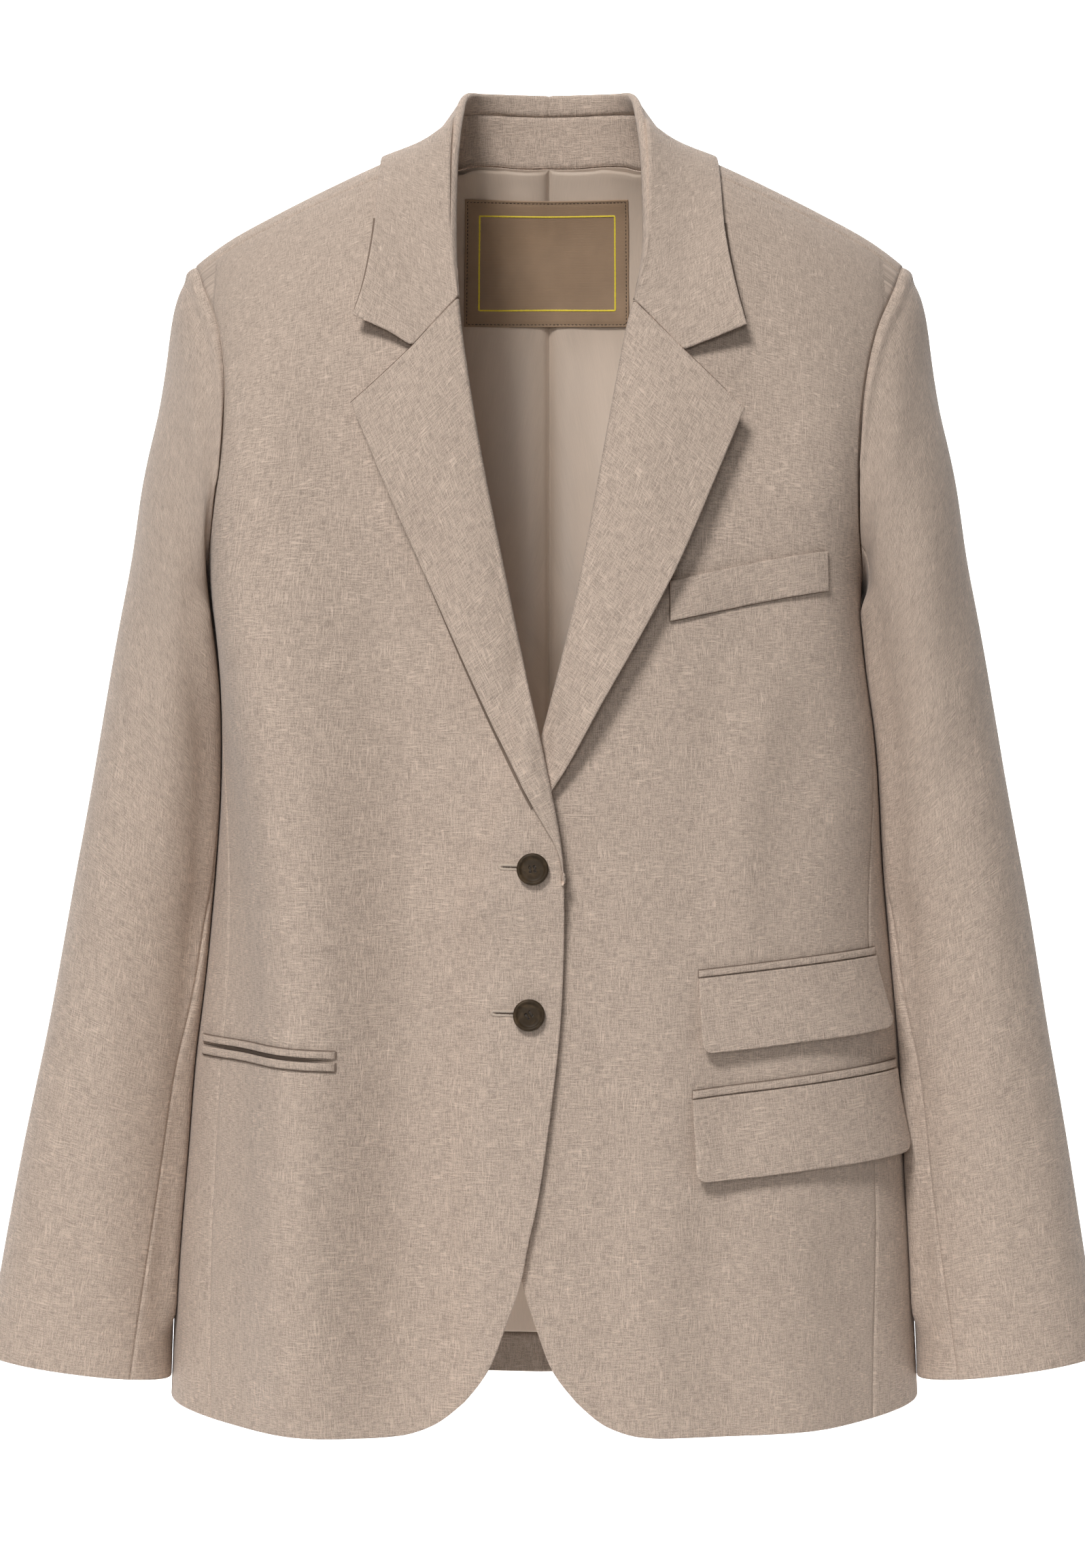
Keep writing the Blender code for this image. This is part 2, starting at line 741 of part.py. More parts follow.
def sleeve_panel(sign, front_seam, back_seam, under):
    """One cut of the two-piece sleeve. s runs round it and t from the armhole to the cuff."""
    place = sleeve_place(sign)
    start_gap = ARMHOLE_GAP / 0.66

    def panel(s, t):
        at = start_gap + (1 - start_gap) * t
        front = smooth(front_seam, at)[0]
        back = smooth(back_seam, at)[0]
        gap = SIDE_GAP / 2 / 0.05
        if under:
            low, high = front + gap, back - gap
        else:
            low, high = back - 2 * math.pi + gap, front - gap
        return place(at, low + (high - low) * s)

    return panel


def sleeve_axis(sign):
    def axis(point):
        rows = [(-cuff.outer_z, (cuff.outer_x + cuff.inner_x) / 2, cuff.middle) for cuff in SLEEVE]
        x, y = smooth(rows, -point.z)
        return Vector((sign * x, y, point.z))

    return axis


# Lapels and collar


def on_front(mark, lift):
    g, h = girth(mark[0], mark[1])
    return off_body(g, h, lift)


def lapel_place(side):
    roll = along(through([Vector(mark) for mark in ROLL[side]], 5))
    edge = along(through([Vector(mark) for mark in LAPEL_EDGE[side]], 5))
    start = [Vector(ROLL[side][0]), Vector(LAPEL_EDGE[side][0])]
    gorge = Vector(ROLL[side][-1])
    notch = Vector(NOTCH[side])
    tip = Vector(LAPEL_EDGE[side][-1])
    cut = inset(patch(along(start), along([gorge, notch, tip]), roll, edge), (0, 0), (0, GAP * 3))

    def place(s, t):
        x, z = cut(s, t)
        lift = GAP * 5 + WALL + 0.0016 * math.sin(math.pi * min(1.0, s * 1.4)) + 0.0018 * s * t
        if side == "right":
            lift += overlap_lift(x, z)
        return on_front((x, z), lift)

    return place


def mirrored(points, sign):
    return [Vector((sign * point[0], *point[1:])) for point in points]


def collar_half(side):
    """The fall of the collar on one side. s runs from the middle back to the gorge, t from fold to edge."""
    sign = -1 if side == "right" else 1
    gorge_mark = ROLL[side][-1]
    gorge = on_front(gorge_mark, COLLAR_LIFT - 0.0010)
    notch = on_front(NOTCH[side], COLLAR_LIFT + 0.0004)
    end = on_front(COLLAR_END[side], COLLAR_LIFT + 0.0012)
    tip = on_front(COLLAR_POINT[side], COLLAR_LIFT + 0.0020)
    fold = along(through(mirrored(FOLD, sign) + [gorge], 5))
    edge = along(through(mirrored(COLLAR_EDGE, sign) + [tip], 5))
    middle_edge = Vector(COLLAR_EDGE[0])
    middle_fold = Vector(FOLD[0])
    bow = middle_fold.lerp(middle_edge, 0.4) + Vector((0, 0.006, 0.002))
    back = along(through([middle_fold, bow, middle_edge], 6))
    front = along([gorge, notch, end, tip])
    return patch(fold, edge, back, front)


def clear_of_body(point, lift):
    """The point, moved out until it stands clear of the body surface."""
    behind = point.y > 0
    top = crest(point.x)
    depth = depth_at(point.x, min(point.z, top), behind)
    bend = BACK_BEND if behind else FRONT_BEND
    rise = max(0.0, (point.z - ARMPIT_Z) / (top - ARMPIT_Z))
    reach = (rise**bend + (abs(point.y) / depth) ** bend) ** (1 / bend)
    radius = math.hypot(point.y, point.z - ARMPIT_Z)
    need = radius / reach + lift * 1.06
    if radius >= need:
        return point
    grow = need / radius
    return Vector((point.x, point.y * grow, ARMPIT_Z + (point.z - ARMPIT_Z) * grow))


def neck_row(sign):
    """The inner face of the neck seam in space, from the middle of the back to the gorge."""
    front = neck_front("right" if sign < 0 else "left")
    row = [off_body(g, h, -WALL) for g, h in neck_back(sign)]
    return row + [off_body(g, h, -WALL) for g, h in reversed(front[:-1])]


def collar_sides():
    rows = {}
    for side, sign in (("right", -1), ("left", 1)):
        gorge = on_front(ROLL[side][-1], COLLAR_LIFT - 0.0010)
        fold = along(through(mirrored(FOLD, sign) + [gorge], 5))
        neck = along(neck_row(sign))
        rows[side] = (fold, neck, collar_half(side))
    return rows


def collar_section(sides, c):
    side = "right" if c < 0 else "left"
    return (*sides[side], abs(c))


def collar_share(s):
    """Place along the collar, -1 to 1, of a share of its columns. A narrow one passes the stand's end."""
    c = abs(2 * s - 1)
    if c <= 9 / 16:
        c *= 0.560 * 16 / 9
    elif c <= 10 / 16:
        c = 0.560 + (c - 9 / 16) * 16 * 0.015
    else:
        c = 0.575 + (c - 10 / 16) * 16 / 6 * 0.425
    return math.copysign(c, s - 0.5)


def away_from_neck(point):
    """Level direction from the neck outwards at a point of the collar."""
    return Vector((point.x, point.y + 0.010, 0)).normalized()


def stand_line(fold, neck, c):
    """The inner face of the collar at one place, from the neck seam to just inside the fold."""
    high = fold(c)
    drop = STAND_DROP * ease(0.28, 0.46, c) * (1 - ease(0.60, 0.72, c))
    return neck(c), high - away_from_neck(high) * FOLD_RADIUS - Vector((0, 0, drop))


def stand_place(sides):
    def place(s, t):
        fold, neck, _, c = collar_section(sides, (2 * s - 1) * STAND_END)
        low, high = stand_line(fold, neck, c)
        start = STAND_START / (high - low).length
        return low.lerp(high, start + (STAND_TOP - start) * t)

    return place


def fall_place(sides, rows_inside, rows):
    """The fall, from its seam with the stand up the inner face, over the fold and down to its edge."""
    fold_rows = 2

    def place(s, t):
        fold, neck, half, c = collar_section(sides, collar_share(s))
        row = t * rows
        out = away_from_neck(fold(c))
        radius = FOLD_RADIUS * (1 - 0.4 * ease(0.85, 1.0, c))
        if row < rows_inside:
            low, high = stand_line(fold, neck, c)
            length = max(0.004, (high - low).length)
            share = STAND_TOP + STAND_SEAM / length if c < 0.57 else min(0.8, STAND_START / length)
            point = low.lerp(high, share + (1 - share) * row / rows_inside)
            return point - Vector((0, 0, radius * row / rows_inside))
        if row < rows_inside + fold_rows:
            turn = 2 * (row - rows_inside) / fold_rows - 1
            return fold(c) + out * radius * turn - Vector((0, 0, radius * 0.6 * turn * turn))
        share = (row - rows_inside - fold_rows + 0.5) / (rows - rows_inside - fold_rows + 0.5)
        bow = 0.0035 * math.sin(math.pi * share) * (1 - ease(0.75, 1.0, c))
        point = half(c, share) + out * (radius * (1 - share) + bow)
        return clear_of_body(point, COLLAR_LIFT)

    return place


# Pockets, label and buttons


def quad(corners):
    top_left, top_right, low_right, low_left = (Vector(corner) for corner in corners)

    def place(s, t):
        low = low_left.lerp(low_right, s)
        high = top_left.lerp(top_right, s)
        return low.lerp(high, t)

    return place


def pocket_place(corners, lift, hang=0.0, round_corners=False):
    cut = quad(corners)

    def place(s, t):
        if round_corners and t < 0.01 and (s < 0.01 or s > 0.99):
            s, t = min(max(s, 0.012), 0.988), 0.05
        x, z = cut(s, t)
        return on_front((x, z), lift + hang * (1 - t))

    return place


def label_place():
    cut = quad(LABEL)

    def place(s, t):
        x, z = cut(s, t)
        g, h = girth(x if abs(x) > 1e-6 else 1e-6, z, True)
        return off_body(g, h, -(WALL + LINING_GAP + LINING_WALL + LABEL_GAP))

    return place


def hem_band_place(shorten):
    right = back_patch(-1)
    left = back_patch(1)

    def place(s, t):
        cut = right if s < 0.5 else left
        g, _ = cut(0.97 * abs(2 * s - 1), 0.0)
        low = hem_z(g / GIRTH_RADIUS) + GAP * 2
        high = ARMPIT_Z + (hem_z(g / GIRTH_RADIUS) - ARMPIT_Z) * shorten - GAP * 2
        z = low + (high - low) * t
        return off_body(g, z - ARMPIT_Z, -(WALL + LINING_GAP))

    return place


def button_profile():
    """Half of a turned button, from the middle of its face to the middle of its back."""
    r, high = BUTTON_RADIUS, BUTTON_THICKNESS
    return (
        (0.0, high * 0.58),
        (r * 0.50, high * 0.60),
        (r * 0.70, high * 0.86),
        (r * 0.84, high),
        (r * 0.95, high * 0.86),
        (r, high * 0.52),
        (r * 0.88, high * 0.14),
        (r * 0.60, 0.0),
        (0.0, 0.0),
    )


def add_button(name, mark):
    profile = bpy.data.meshes.new(name)
    points = button_profile()
    profile.from_pydata([(r, 0, z) for r, z in points], [(i, i + 1) for i in range(len(points) - 1)], [])
    button = add_object(name, profile, BUTTON)
    turned = button.modifiers.new("Turned", "SCREW")
    turned.steps = 28
    turned.render_steps = 28
    turned.use_merge_vertices = True
    turned.merge_threshold = 0.00005
    holes = bmesh.new()
    for quarter in range(4):
        angle = math.pi / 4 + quarter * math.pi / 2
        made = bmesh.ops.create_cone(
            holes,
            cap_ends=True,
            segments=8,
            radius1=BUTTON_HOLE_RADIUS,
            radius2=BUTTON_HOLE_RADIUS,
            depth=BUTTON_THICKNESS * 3,
        )
        offset = Vector((math.cos(angle), math.sin(angle), 0)) * BUTTON_HOLE_OFFSET
        bmesh.ops.translate(holes, verts=made["verts"], vec=offset)
    cutter_mesh = bpy.data.meshes.new(name + "_holes")
    holes.to_mesh(cutter_mesh)
    holes.free()
    cutter = bpy.data.objects.new(name + "_holes", cutter_mesh)
    bpy.data.collections["cutters"].objects.link(cutter)
    cutter.hide_render = True
    cutter.display_type = "WIRE"
    cutter.parent = button
    bored = button.modifiers.new("Holes", "BOOLEAN")
    bored.object = cutter
    bored.operation = "DIFFERENCE"
    g, h = girth(mark.x, mark.z)
    lift = overlap_lift(mark.x, mark.z) + GAP * 2
    button.location = swing(off_body(g, h, lift))
    button.rotation_euler = outward(g, h).to_track_quat("Z", "Y").to_euler()
    return button


def build():
    for old in list(bpy.data.objects):
        bpy.data.objects.remove(old, do_unlink=True)
    for name in ("blazer", "cutters"):
        bpy.context.scene.collection.children.link(bpy.data.collections.new(name))

    sheet("front_right", front_place("right"), 16, 26, CLOTH)
    sheet("front_left", front_place("left"), 15, 26, CLOTH)
    for side, sign in (("right", -1), ("left", 1)):
        sheet("back_" + side, back_place(sign), 11, 22, CLOTH)
        sheet("side_body_" + side, side_place(sign), 6, 20, CLOTH_SHADE)
        axis = sleeve_axis(sign)
        top = sleeve_panel(sign, FRONT_SLEEVE_SEAM, BACK_SLEEVE_SEAM, False)
        sheet("top_sleeve_" + side, top, 14, 16, CLOTH, axis=axis)
        under = sleeve_panel(sign, FRONT_SLEEVE_SEAM, BACK_SLEEVE_SEAM, True)
        sheet("under_sleeve_" + side, under, 7, 16, CLOTH_SHADE, axis=axis)
        sheet("lapel_" + side, lapel_place(side), 7, 16, COLLAR_CLOTH)

    sides = collar_sides()
    sheet("collar_stand", stand_place(sides), 18, 2, COLLAR_CLOTH, axis=lambda point: point * 2)
    fall = fall_place(sides, 1, 8)
    sheet("collar_fall", fall, 32, 8, COLLAR_CLOTH, axis=lambda point: Vector((0, 0, -0.1)))

    sheet("chest_welt", pocket_place(CHEST_WELT, WELT_LIFT), 6, 2, CLOTH_SHADE)
    sheet("ticket_jet", pocket_place(TICKET_JET, JET_LIFT), 8, 1, CLOTH_SHADE, wall=0.0014)
    sheet("ticket_flap", pocket_place(TICKET_FLAP, FLAP_LIFT, FLAP_HANG, True), 8, 4, CLOTH_SHADE)
    sheet("hip_jet", pocket_place(HIP_JET, JET_LIFT), 10, 1, CLOTH_SHADE, wall=0.0014)
    sheet("hip_flap", pocket_place(HIP_FLAP, FLAP_LIFT, FLAP_HANG, True), 10, 4, CLOTH_SHADE)
    sheet("pocket_jet_upper", pocket_place(UPPER_JET, JET_LIFT), 8, 1, CLOTH_SHADE, wall=0.0014)
    sheet("pocket_jet_lower", pocket_place(LOWER_JET, JET_LIFT), 8, 1, CLOTH_SHADE, wall=0.0014)

    shorten = (LINING_END_Z - ARMPIT_Z) / (hem_z(math.pi) - ARMPIT_Z)
    for side, sign in (("right", -1), ("left", 1)):
        place = back_place(sign, -(WALL + LINING_GAP), shorten)
        sheet("lining_" + side, place, 11, 22, LINING, wall=LINING_WALL)
    sheet("back_hem", hem_band_place(shorten), 20, 1, CLOTH_SHADE, wall=LINING_WALL)
    sheet("label", label_place(), 8, 6, LABEL_CLOTH, wall=LINING_WALL)
    for name, mark in BUTTONS.items():
        add_button(name, mark)


build()
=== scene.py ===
import math

import bpy
import numpy as np
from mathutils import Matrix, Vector


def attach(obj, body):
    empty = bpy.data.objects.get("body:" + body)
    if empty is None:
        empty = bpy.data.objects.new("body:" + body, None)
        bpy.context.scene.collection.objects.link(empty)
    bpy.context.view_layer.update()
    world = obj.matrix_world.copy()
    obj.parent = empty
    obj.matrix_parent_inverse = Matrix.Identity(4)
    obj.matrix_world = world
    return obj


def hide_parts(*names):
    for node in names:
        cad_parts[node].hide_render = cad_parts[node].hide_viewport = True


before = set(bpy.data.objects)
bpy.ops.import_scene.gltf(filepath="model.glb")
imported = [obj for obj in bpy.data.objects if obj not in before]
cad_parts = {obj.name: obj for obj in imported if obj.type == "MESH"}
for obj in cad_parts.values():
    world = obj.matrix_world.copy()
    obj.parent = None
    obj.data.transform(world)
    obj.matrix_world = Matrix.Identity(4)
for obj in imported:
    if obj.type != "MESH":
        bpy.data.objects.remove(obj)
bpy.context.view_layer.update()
print("frame loaded, nodes:", len(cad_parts))

# the form that every piece of cloth is read from
form = {
    "armpit": -0.262,
    "girthRadius": 0.2,
    "rise": 0.30,
    "frontBend": 2.05,
    "backBend": 2.4,
    "shoulderHalf": 0.221,
    "seamForward": 0.17,
    "shoulderBow": 0.004,
    "swing": -0.0036,
    "swingTop": -0.45,
    "swingLength": 0.27,
    "ripple": 0.0007,
    "hemWave": 0.0010,
    # height, half width, depth in front, depth behind, squareness
    "rings": (
        (-0.790, 0.2335, 0.1280, 0.118, 2.35),
        (-0.660, 0.2265, 0.1270, 0.114, 2.35),
        (-0.557, 0.2188, 0.1265, 0.111, 2.40),
        (-0.455, 0.2091, 0.1260, 0.108, 2.40),
        (-0.354, 0.1994, 0.1250, 0.106, 2.45),
        (-0.262, 0.1923, 0.1220, 0.108, 2.50),
        (-0.206, 0.2070, 0.1200, 0.110, 2.50),
        (-0.157, 0.2205, 0.1185, 0.111, 2.50),
        (-0.106, 0.2310, 0.1170, 0.112, 2.50),
        (-0.060, 0.2390, 0.1160, 0.112, 2.50),
        (0.060, 0.2480, 0.1140, 0.112, 2.50),
    ),
    # distance from the middle, height of the shoulder
    "crest": (
        (0.000, 0.0500),
        (0.030, 0.0440),
        (0.055, 0.0280),
        (0.078, 0.0115),
        (0.104, 0.0007),
        (0.134, -0.0132),
        (0.168, -0.0302),
        (0.199, -0.0472),
        (0.221, -0.0635),
        (0.245, -0.0850),
    ),
}
rings = np.array(form["rings"])
crestRows = np.array(form["crest"])
sideNames = (("right", -1), ("left", 1))


def ease(low, high, at):
    share = np.clip((np.asarray(at, float) - low) / (high - low), 0, 1)
    return share * share * (3 - 2 * share)


def curve(rows, at):
    # the values of a table at a key, on a smooth line through its rows
    rows = np.asarray(rows, float)
    at = np.asarray(at, float)
    last = len(rows) - 1
    step = np.clip(np.searchsorted(rows[:, 0], at, side="left") - 1, 0, last - 1)
    low, high = rows[step], rows[step + 1]
    before, after = rows[np.maximum(step - 1, 0)], rows[np.minimum(step + 2, last)]
    span = high[..., :1] - low[..., :1]
    share = np.clip((at[..., None] - low[..., :1]) / span, 0, 1)
    start = (high - before) / (high[..., :1] - before[..., :1]) * span
    end = (after - low) / (after[..., :1] - low[..., :1]) * span
    square, cube = share**2, share**3
    value = (2 * cube - 3 * square + 1) * low + (cube - 2 * square + share) * start
    return (value + (3 * square - 2 * cube) * high + (cube - square) * end)[..., 1:]


def ringAt(z):
    return curve(rings, np.clip(z, rings[0, 0], rings[-1, 0]))


def crestAt(x):
    return curve(crestRows, np.minimum(np.abs(x), crestRows[-1, 0]))[..., 0]


def depthAt(x, z, behind):
    ring = ringAt(z)
    share = np.minimum(1.0, np.abs(x) / ring[..., 0])
    square = ring[..., 3]
    return np.where(behind, ring[..., 2], ring[..., 1]) * (1 - share**square) ** (1 / square)


def body(g, h):
    # a point of the body: g runs round it from the centre front, h up it and over the shoulder
    g, h = np.broadcast_arrays(np.asarray(g, float), np.asarray(h, float))
    angle = g / form["girthRadius"]
    below = h <= 0
    turn = np.maximum(h, 0) / form["rise"] * math.pi / 2
    over = turn > math.pi / 2
    turn = np.where(over, math.pi - turn, turn)
    behind = (np.abs(angle) > math.pi / 2) ^ over
    bend = np.where(behind, form["backBend"], form["frontBend"])
    up = np.maximum(0, np.sin(turn)) ** (2 / bend)
    lowZ = form["armpit"] + np.minimum(h, 0)
    x = np.where(below, ringAt(lowZ)[..., 0], form["shoulderHalf"]) * np.sin(angle)
    z = lowZ
    for _ in range(8):
        z = np.where(below, lowZ, form["armpit"] + (crestAt(x) - form["armpit"]) * up)
        x = ringAt(z)[..., 0] * np.sin(angle)
    flat = np.where(below, 1.0, np.maximum(0.0, np.cos(turn)) ** (2 / bend))
    depth = depthAt(x, z, behind) * flat
    return np.stack([x, np.where(behind, depth, -depth), z], -1)


def girth(x, z, behind=False):
    # g and h of the body point that lies at this x and z
    x, z = np.broadcast_arrays(np.asarray(x, float), np.asarray(z, float))
    angle = np.arcsin(np.clip(x / ringAt(z)[..., 0], -1, 1))
    if behind:
        angle = np.where(x < 0, -math.pi, math.pi) - angle
    bend = form["backBend"] if behind else form["frontBend"]
    share = np.clip((z - form["armpit"]) / (crestAt(x) - form["armpit"]), 0, 1)
    turn = np.arcsin(share ** (bend / 2))
    h = np.where(z <= form["armpit"], z - form["armpit"], turn * form["rise"] / (math.pi / 2))
    return np.stack([angle * form["girthRadius"], h], -1)


def outward(g, h):
    step = 0.0008
    across = body(g + step, h) - body(g - step, h)
    up = body(g, h + step) - body(g, h - step)
    normal = np.cross(across, up)
    normal /= np.maximum(1e-12, np.linalg.norm(normal, axis=-1, keepdims=True))
    point = body(g, h)
    away = point * (1, 1, 0)
    away[..., 2] = 0.3 * np.maximum(0.0, point[..., 2] - form["armpit"])
    return normal * np.where((normal * away).sum(-1, keepdims=True) < 0, -1, 1)


# soft folds of the body, each a ridge or a trough along a line of x and z: from, to, half width, height
folds = {
    "front": (
        ((-0.167, -0.120), (-0.125, -0.790), 0.034, 0.0370),
        ((-0.111, -0.120), (-0.069, -0.790), 0.045, -0.0090),
        ((-0.046, -0.520), (-0.040, -0.790), 0.026, 0.0018),
        ((-0.090, -0.215), (-0.034, -0.375), 0.013, -0.0046),
        ((-0.185, -0.330), (-0.190, -0.760), 0.020, -0.0014),
        ((-0.078, -0.415), (-0.024, -0.436), 0.009, -0.0014),
        ((-0.092, -0.392), (-0.026, -0.422), 0.010, 0.0012),
        ((-0.084, -0.472), (-0.024, -0.446), 0.010, 0.0011),
        ((-0.072, -0.500), (-0.026, -0.518), 0.010, 0.0009),
        ((0.130, -0.320), (0.111, -0.500), 0.013, 0.0022),
        ((0.098, -0.300), (0.084, -0.480), 0.016, -0.0018),
        ((0.170, -0.130), (0.172, -0.440), 0.026, 0.0062),
        ((0.062, -0.480), (0.068, -0.790), 0.023, 0.0034),
        ((0.102, -0.520), (0.108, -0.790), 0.022, -0.0036),
        ((0.150, -0.640), (0.156, -0.790), 0.022, 0.0020),
        ((0.182, -0.600), (0.190, -0.780), 0.018, -0.0018),
        ((0.112, -0.120), (0.112, -0.300), 0.030, -0.0040),
        ((-0.150, -0.120), (-0.140, -0.230), 0.018, -0.0020),
    ),
    "back": (
        ((-0.130, -0.090), (-0.150, -0.420), 0.034, 0.0036),
        ((0.130, -0.090), (0.155, -0.430), 0.034, 0.0036),
        ((-0.075, -0.130), (-0.085, -0.700), 0.030, -0.0032),
        ((0.080, -0.150), (0.090, -0.720), 0.030, -0.0032),
        ((-0.120, -0.430), (-0.130, -0.780), 0.030, 0.0034),
        ((0.040, -0.380), (0.036, -0.780), 0.024, 0.0028),
        ((-0.035, -0.420), (-0.040, -0.780), 0.022, 0.0024),
        ((0.150, -0.470), (0.160, -0.780), 0.026, 0.0030),
        ((-0.050, -0.075), (0.050, -0.078), 0.020, -0.0014),
    ),
}


def foldField(rows, x, z):
    field = np.zeros(np.broadcast(x, z).shape)
    for start, end, width, height in rows:
        line = np.array(end) - np.array(start)
        length = float(np.hypot(*line))
        share = ((x - start[0]) * line[0] + (z - start[1]) * line[1]) / length**2
        away = ((x - start[0]) * line[1] - (z - start[1]) * line[0]) / length
        sway = 0.25 * width * np.sin(7 * share + 31 * start[0])
        fade = ease(-0.12, 0.25, share) * (1 - ease(0.80, 1.15, share))
        field += height * fade * np.exp(-(((away - sway) / width) ** 2))
    return field


def drape(point, h):
    # how far the cloth hangs off the plain form at a body point
    x, y, z = point[..., 0], point[..., 1], point[..., 2]
    front = foldField(folds["front"], x, z) * ease(0.012, -0.045, y)
    back = foldField(folds["back"], x, z) * ease(-0.012, 0.045, y)
    wave = form["ripple"] * np.sin(37 * x + 3.1 * np.sin(11 * z)) * np.sin(19 * z + 2.0 * np.sin(23 * x))
    hem = form["hemWave"] * np.sin(np.arctan2(y, x) * 7 + 0.6) * ease(-0.45, -0.78, z)
    return (front + back + wave + hem) * (1 - ease(0.16, 0.27, h))


def offBody(g, h, lift=0.0):
    point = body(g, h)
    return point + outward(g, h) * (np.asarray(lift) + drape(point, h))[..., None]


def swung(points):
    # the lower part hangs a little to one side
    points = np.array(points, float)
    down = form["swingTop"] - points[..., 2]
    points[..., 0] += form["swing"] * ease(0.0, form["swingLength"], down)
    return points


def through(points, steps=6):
    # a smooth row of points through the given ones
    points = np.array([list(point) for point in points], float)
    low, high = points[:-1, None], points[1:, None]
    before = np.concatenate([points[:1], points[:-2]])[:, None]
    after = np.concatenate([points[2:], points[-1:]])[:, None]
    share = (np.arange(steps) / steps)[None, :, None]
    square, cube = share**2, share**3
    row = (2 * cube - 3 * square + 1) * low + (cube - 2 * square + share) * (high - before) * 0.5
    row = row + (3 * square - 2 * cube) * high + (cube - square) * (after - low) * 0.5
    return np.concatenate([row.reshape(-1, points.shape[1]), points[-1:]])


def along(row):
    # walks a row of points by the share of its length
    row = np.asarray(row, float)
    lengths = np.concatenate([[0], np.cumsum(np.linalg.norm(np.diff(row, axis=0), axis=1))])

    def walk(share):
        target = np.clip(share, 0, 1) * lengths[-1]
        return np.stack([np.interp(target, lengths, row[:, k]) for k in range(row.shape[1])], -1)

    return walk


def patch(bottom, top, inner, outer):
    # a surface between four edges: s runs across, t runs up
    lowIn, lowOut = bottom(np.array(0)), bottom(np.array(1))
    highIn, highOut = top(np.array(0)), top(np.array(1))

    def place(s, t):
        a, b = np.asarray(s)[..., None], np.asarray(t)[..., None]
        edges = (1 - b) * bottom(s) + b * top(s) + (1 - a) * inner(t) + a * outer(t)
        return edges - (1 - b) * ((1 - a) * lowIn + a * lowOut) - b * ((1 - a) * highIn + a * highOut)

    return place


# the cut of the body panels, as points of x and z seen from the front
bodyCut = {
    "armholeFront": (
        (0.2210, -0.0640),
        (0.2131, -0.0780),
        (0.2006, -0.1060),
        (0.1932, -0.1320),
        (0.1883, -0.1570),
        (0.1858, -0.1820),
        (0.1851, -0.2060),
        (0.1864, -0.2300),
        (0.1900, -0.2520),
        (0.1923, -0.2620),
    ),
    "armholeBack": (
        (0.2210, -0.0640),
        (0.2150, -0.0780),
        (0.2050, -0.1060),
        (0.1985, -0.1320),
        (0.1945, -0.1570),
        (0.1920, -0.1820),
        (0.1900, -0.2060),
        (0.1895, -0.2300),
        (0.1908, -0.2520),
        (0.1923, -0.2620),
    ),
    # height, share of the half width
    "frontSideSeam": (
        (-0.775, 0.866),
        (-0.630, 0.896),
        (-0.515, 0.912),
        (-0.441, 0.934),
        (-0.354, 0.972),
        (-0.2585, 0.992),
    ),
    "backSideSeam": ((-0.775, 0.820), (-0.630, 0.845), (-0.441, 0.880), (-0.354, 0.915), (-0.2585, 0.980)),
    # angle from the centre front, height
    "hem": (
        (0.00, -0.7720),
        (0.75, -0.7715),
        (1.25, -0.7650),
        (1.57, -0.7628),
        (2.00, -0.7650),
        (3.15, -0.7676),
    ),
    # height, x of the centre front
    "centre": ((-0.775, -0.0144), (-0.445, -0.0102), (-0.360, -0.0060), (-0.200, -0.0038)),
    # how far the front edge stands past the centre front, height
    "frontEdge": (
        (-0.0335, -0.7505),
        (-0.0191, -0.7319),
        (-0.0088, -0.7054),
        (-0.0004, -0.6801),
        (0.0036, -0.6568),
        (0.0096, -0.6247),
        (0.0164, -0.5600),
        (0.0190, -0.5190),
        (0.0194, -0.4760),
        (0.0186, -0.4450),
    ),
    "hemCurve": ((-0.0335, -0.7505), (-0.0483, -0.7631), (-0.0645, -0.7699), (-0.0800, -0.7720)),
    "neckBack": ((0.000, 0.0085), (0.025, 0.0083), (0.048, 0.0080), (0.066, 0.0078)),
    "neckFront": ((0.0765, -0.0040), (0.0735, -0.0250), (0.0665, -0.0550), (0.0590, -0.0800)),
    "overlapLift": 0.0066,
    "overLapelLift": 0.0044,
    "underEdge": 0.0186,
}
lapelCut = {
    "roll": {
        "right": (
            (0.0084, -0.4450),
            (0.0076, -0.4282),
            (0.0042, -0.4053),
            (-0.0050, -0.3603),
            (-0.0211, -0.2849),
            (-0.0398, -0.1918),
            (-0.0505, -0.1259),
            (-0.0543, -0.0932),
        ),
        "left": (
            (-0.0288, -0.4450),
            (-0.0262, -0.4280),
            (-0.0185, -0.4050),
            (-0.0050, -0.3566),
            (0.0155, -0.2733),
            (0.0341, -0.1735),
            (0.0447, -0.1165),
            (0.0503, -0.0950),
        ),
    },
    "edge": {
        "right": (
            (0.0080, -0.4400),
            (0.0034, -0.4222),
            (-0.0123, -0.3936),
            (-0.0328, -0.3522),
            (-0.0562, -0.3010),
            (-0.0818, -0.2431),
            (-0.0944, -0.2133),
            (-0.1076, -0.1808),
            (-0.1168, -0.1580),
        ),
        "left": (
            (-0.0250, -0.4400),
            (-0.0190, -0.4222),
            (0.0010, -0.3888),
            (0.0110, -0.3727),
            (0.0296, -0.3381),
            (0.0526, -0.2966),
            (0.0761, -0.2500),
            (0.0994, -0.1961),
            (0.1136, -0.1622),
        ),
    },
    "notch": {"right": (-0.0815, -0.1238), "left": (0.0787, -0.1267)},
    "lift": 0.0035,
    "bow": 0.0016,
    "rollRadius": 0.0034,
    "turnedIn": 0.014,
}


def gh(marks, sign=1, behind=False):
    marks = np.array(marks, float)
    return girth(sign * marks[:, 0], marks[:, 1], behind)


def hemZ(angle):
    return curve(bodyCut["hem"], np.abs(angle))[..., 0]


def centreFront(z):
    rows = bodyCut["centre"]
    return curve(rows, np.clip(z, rows[0][0], rows[-1][0]))[..., 0]


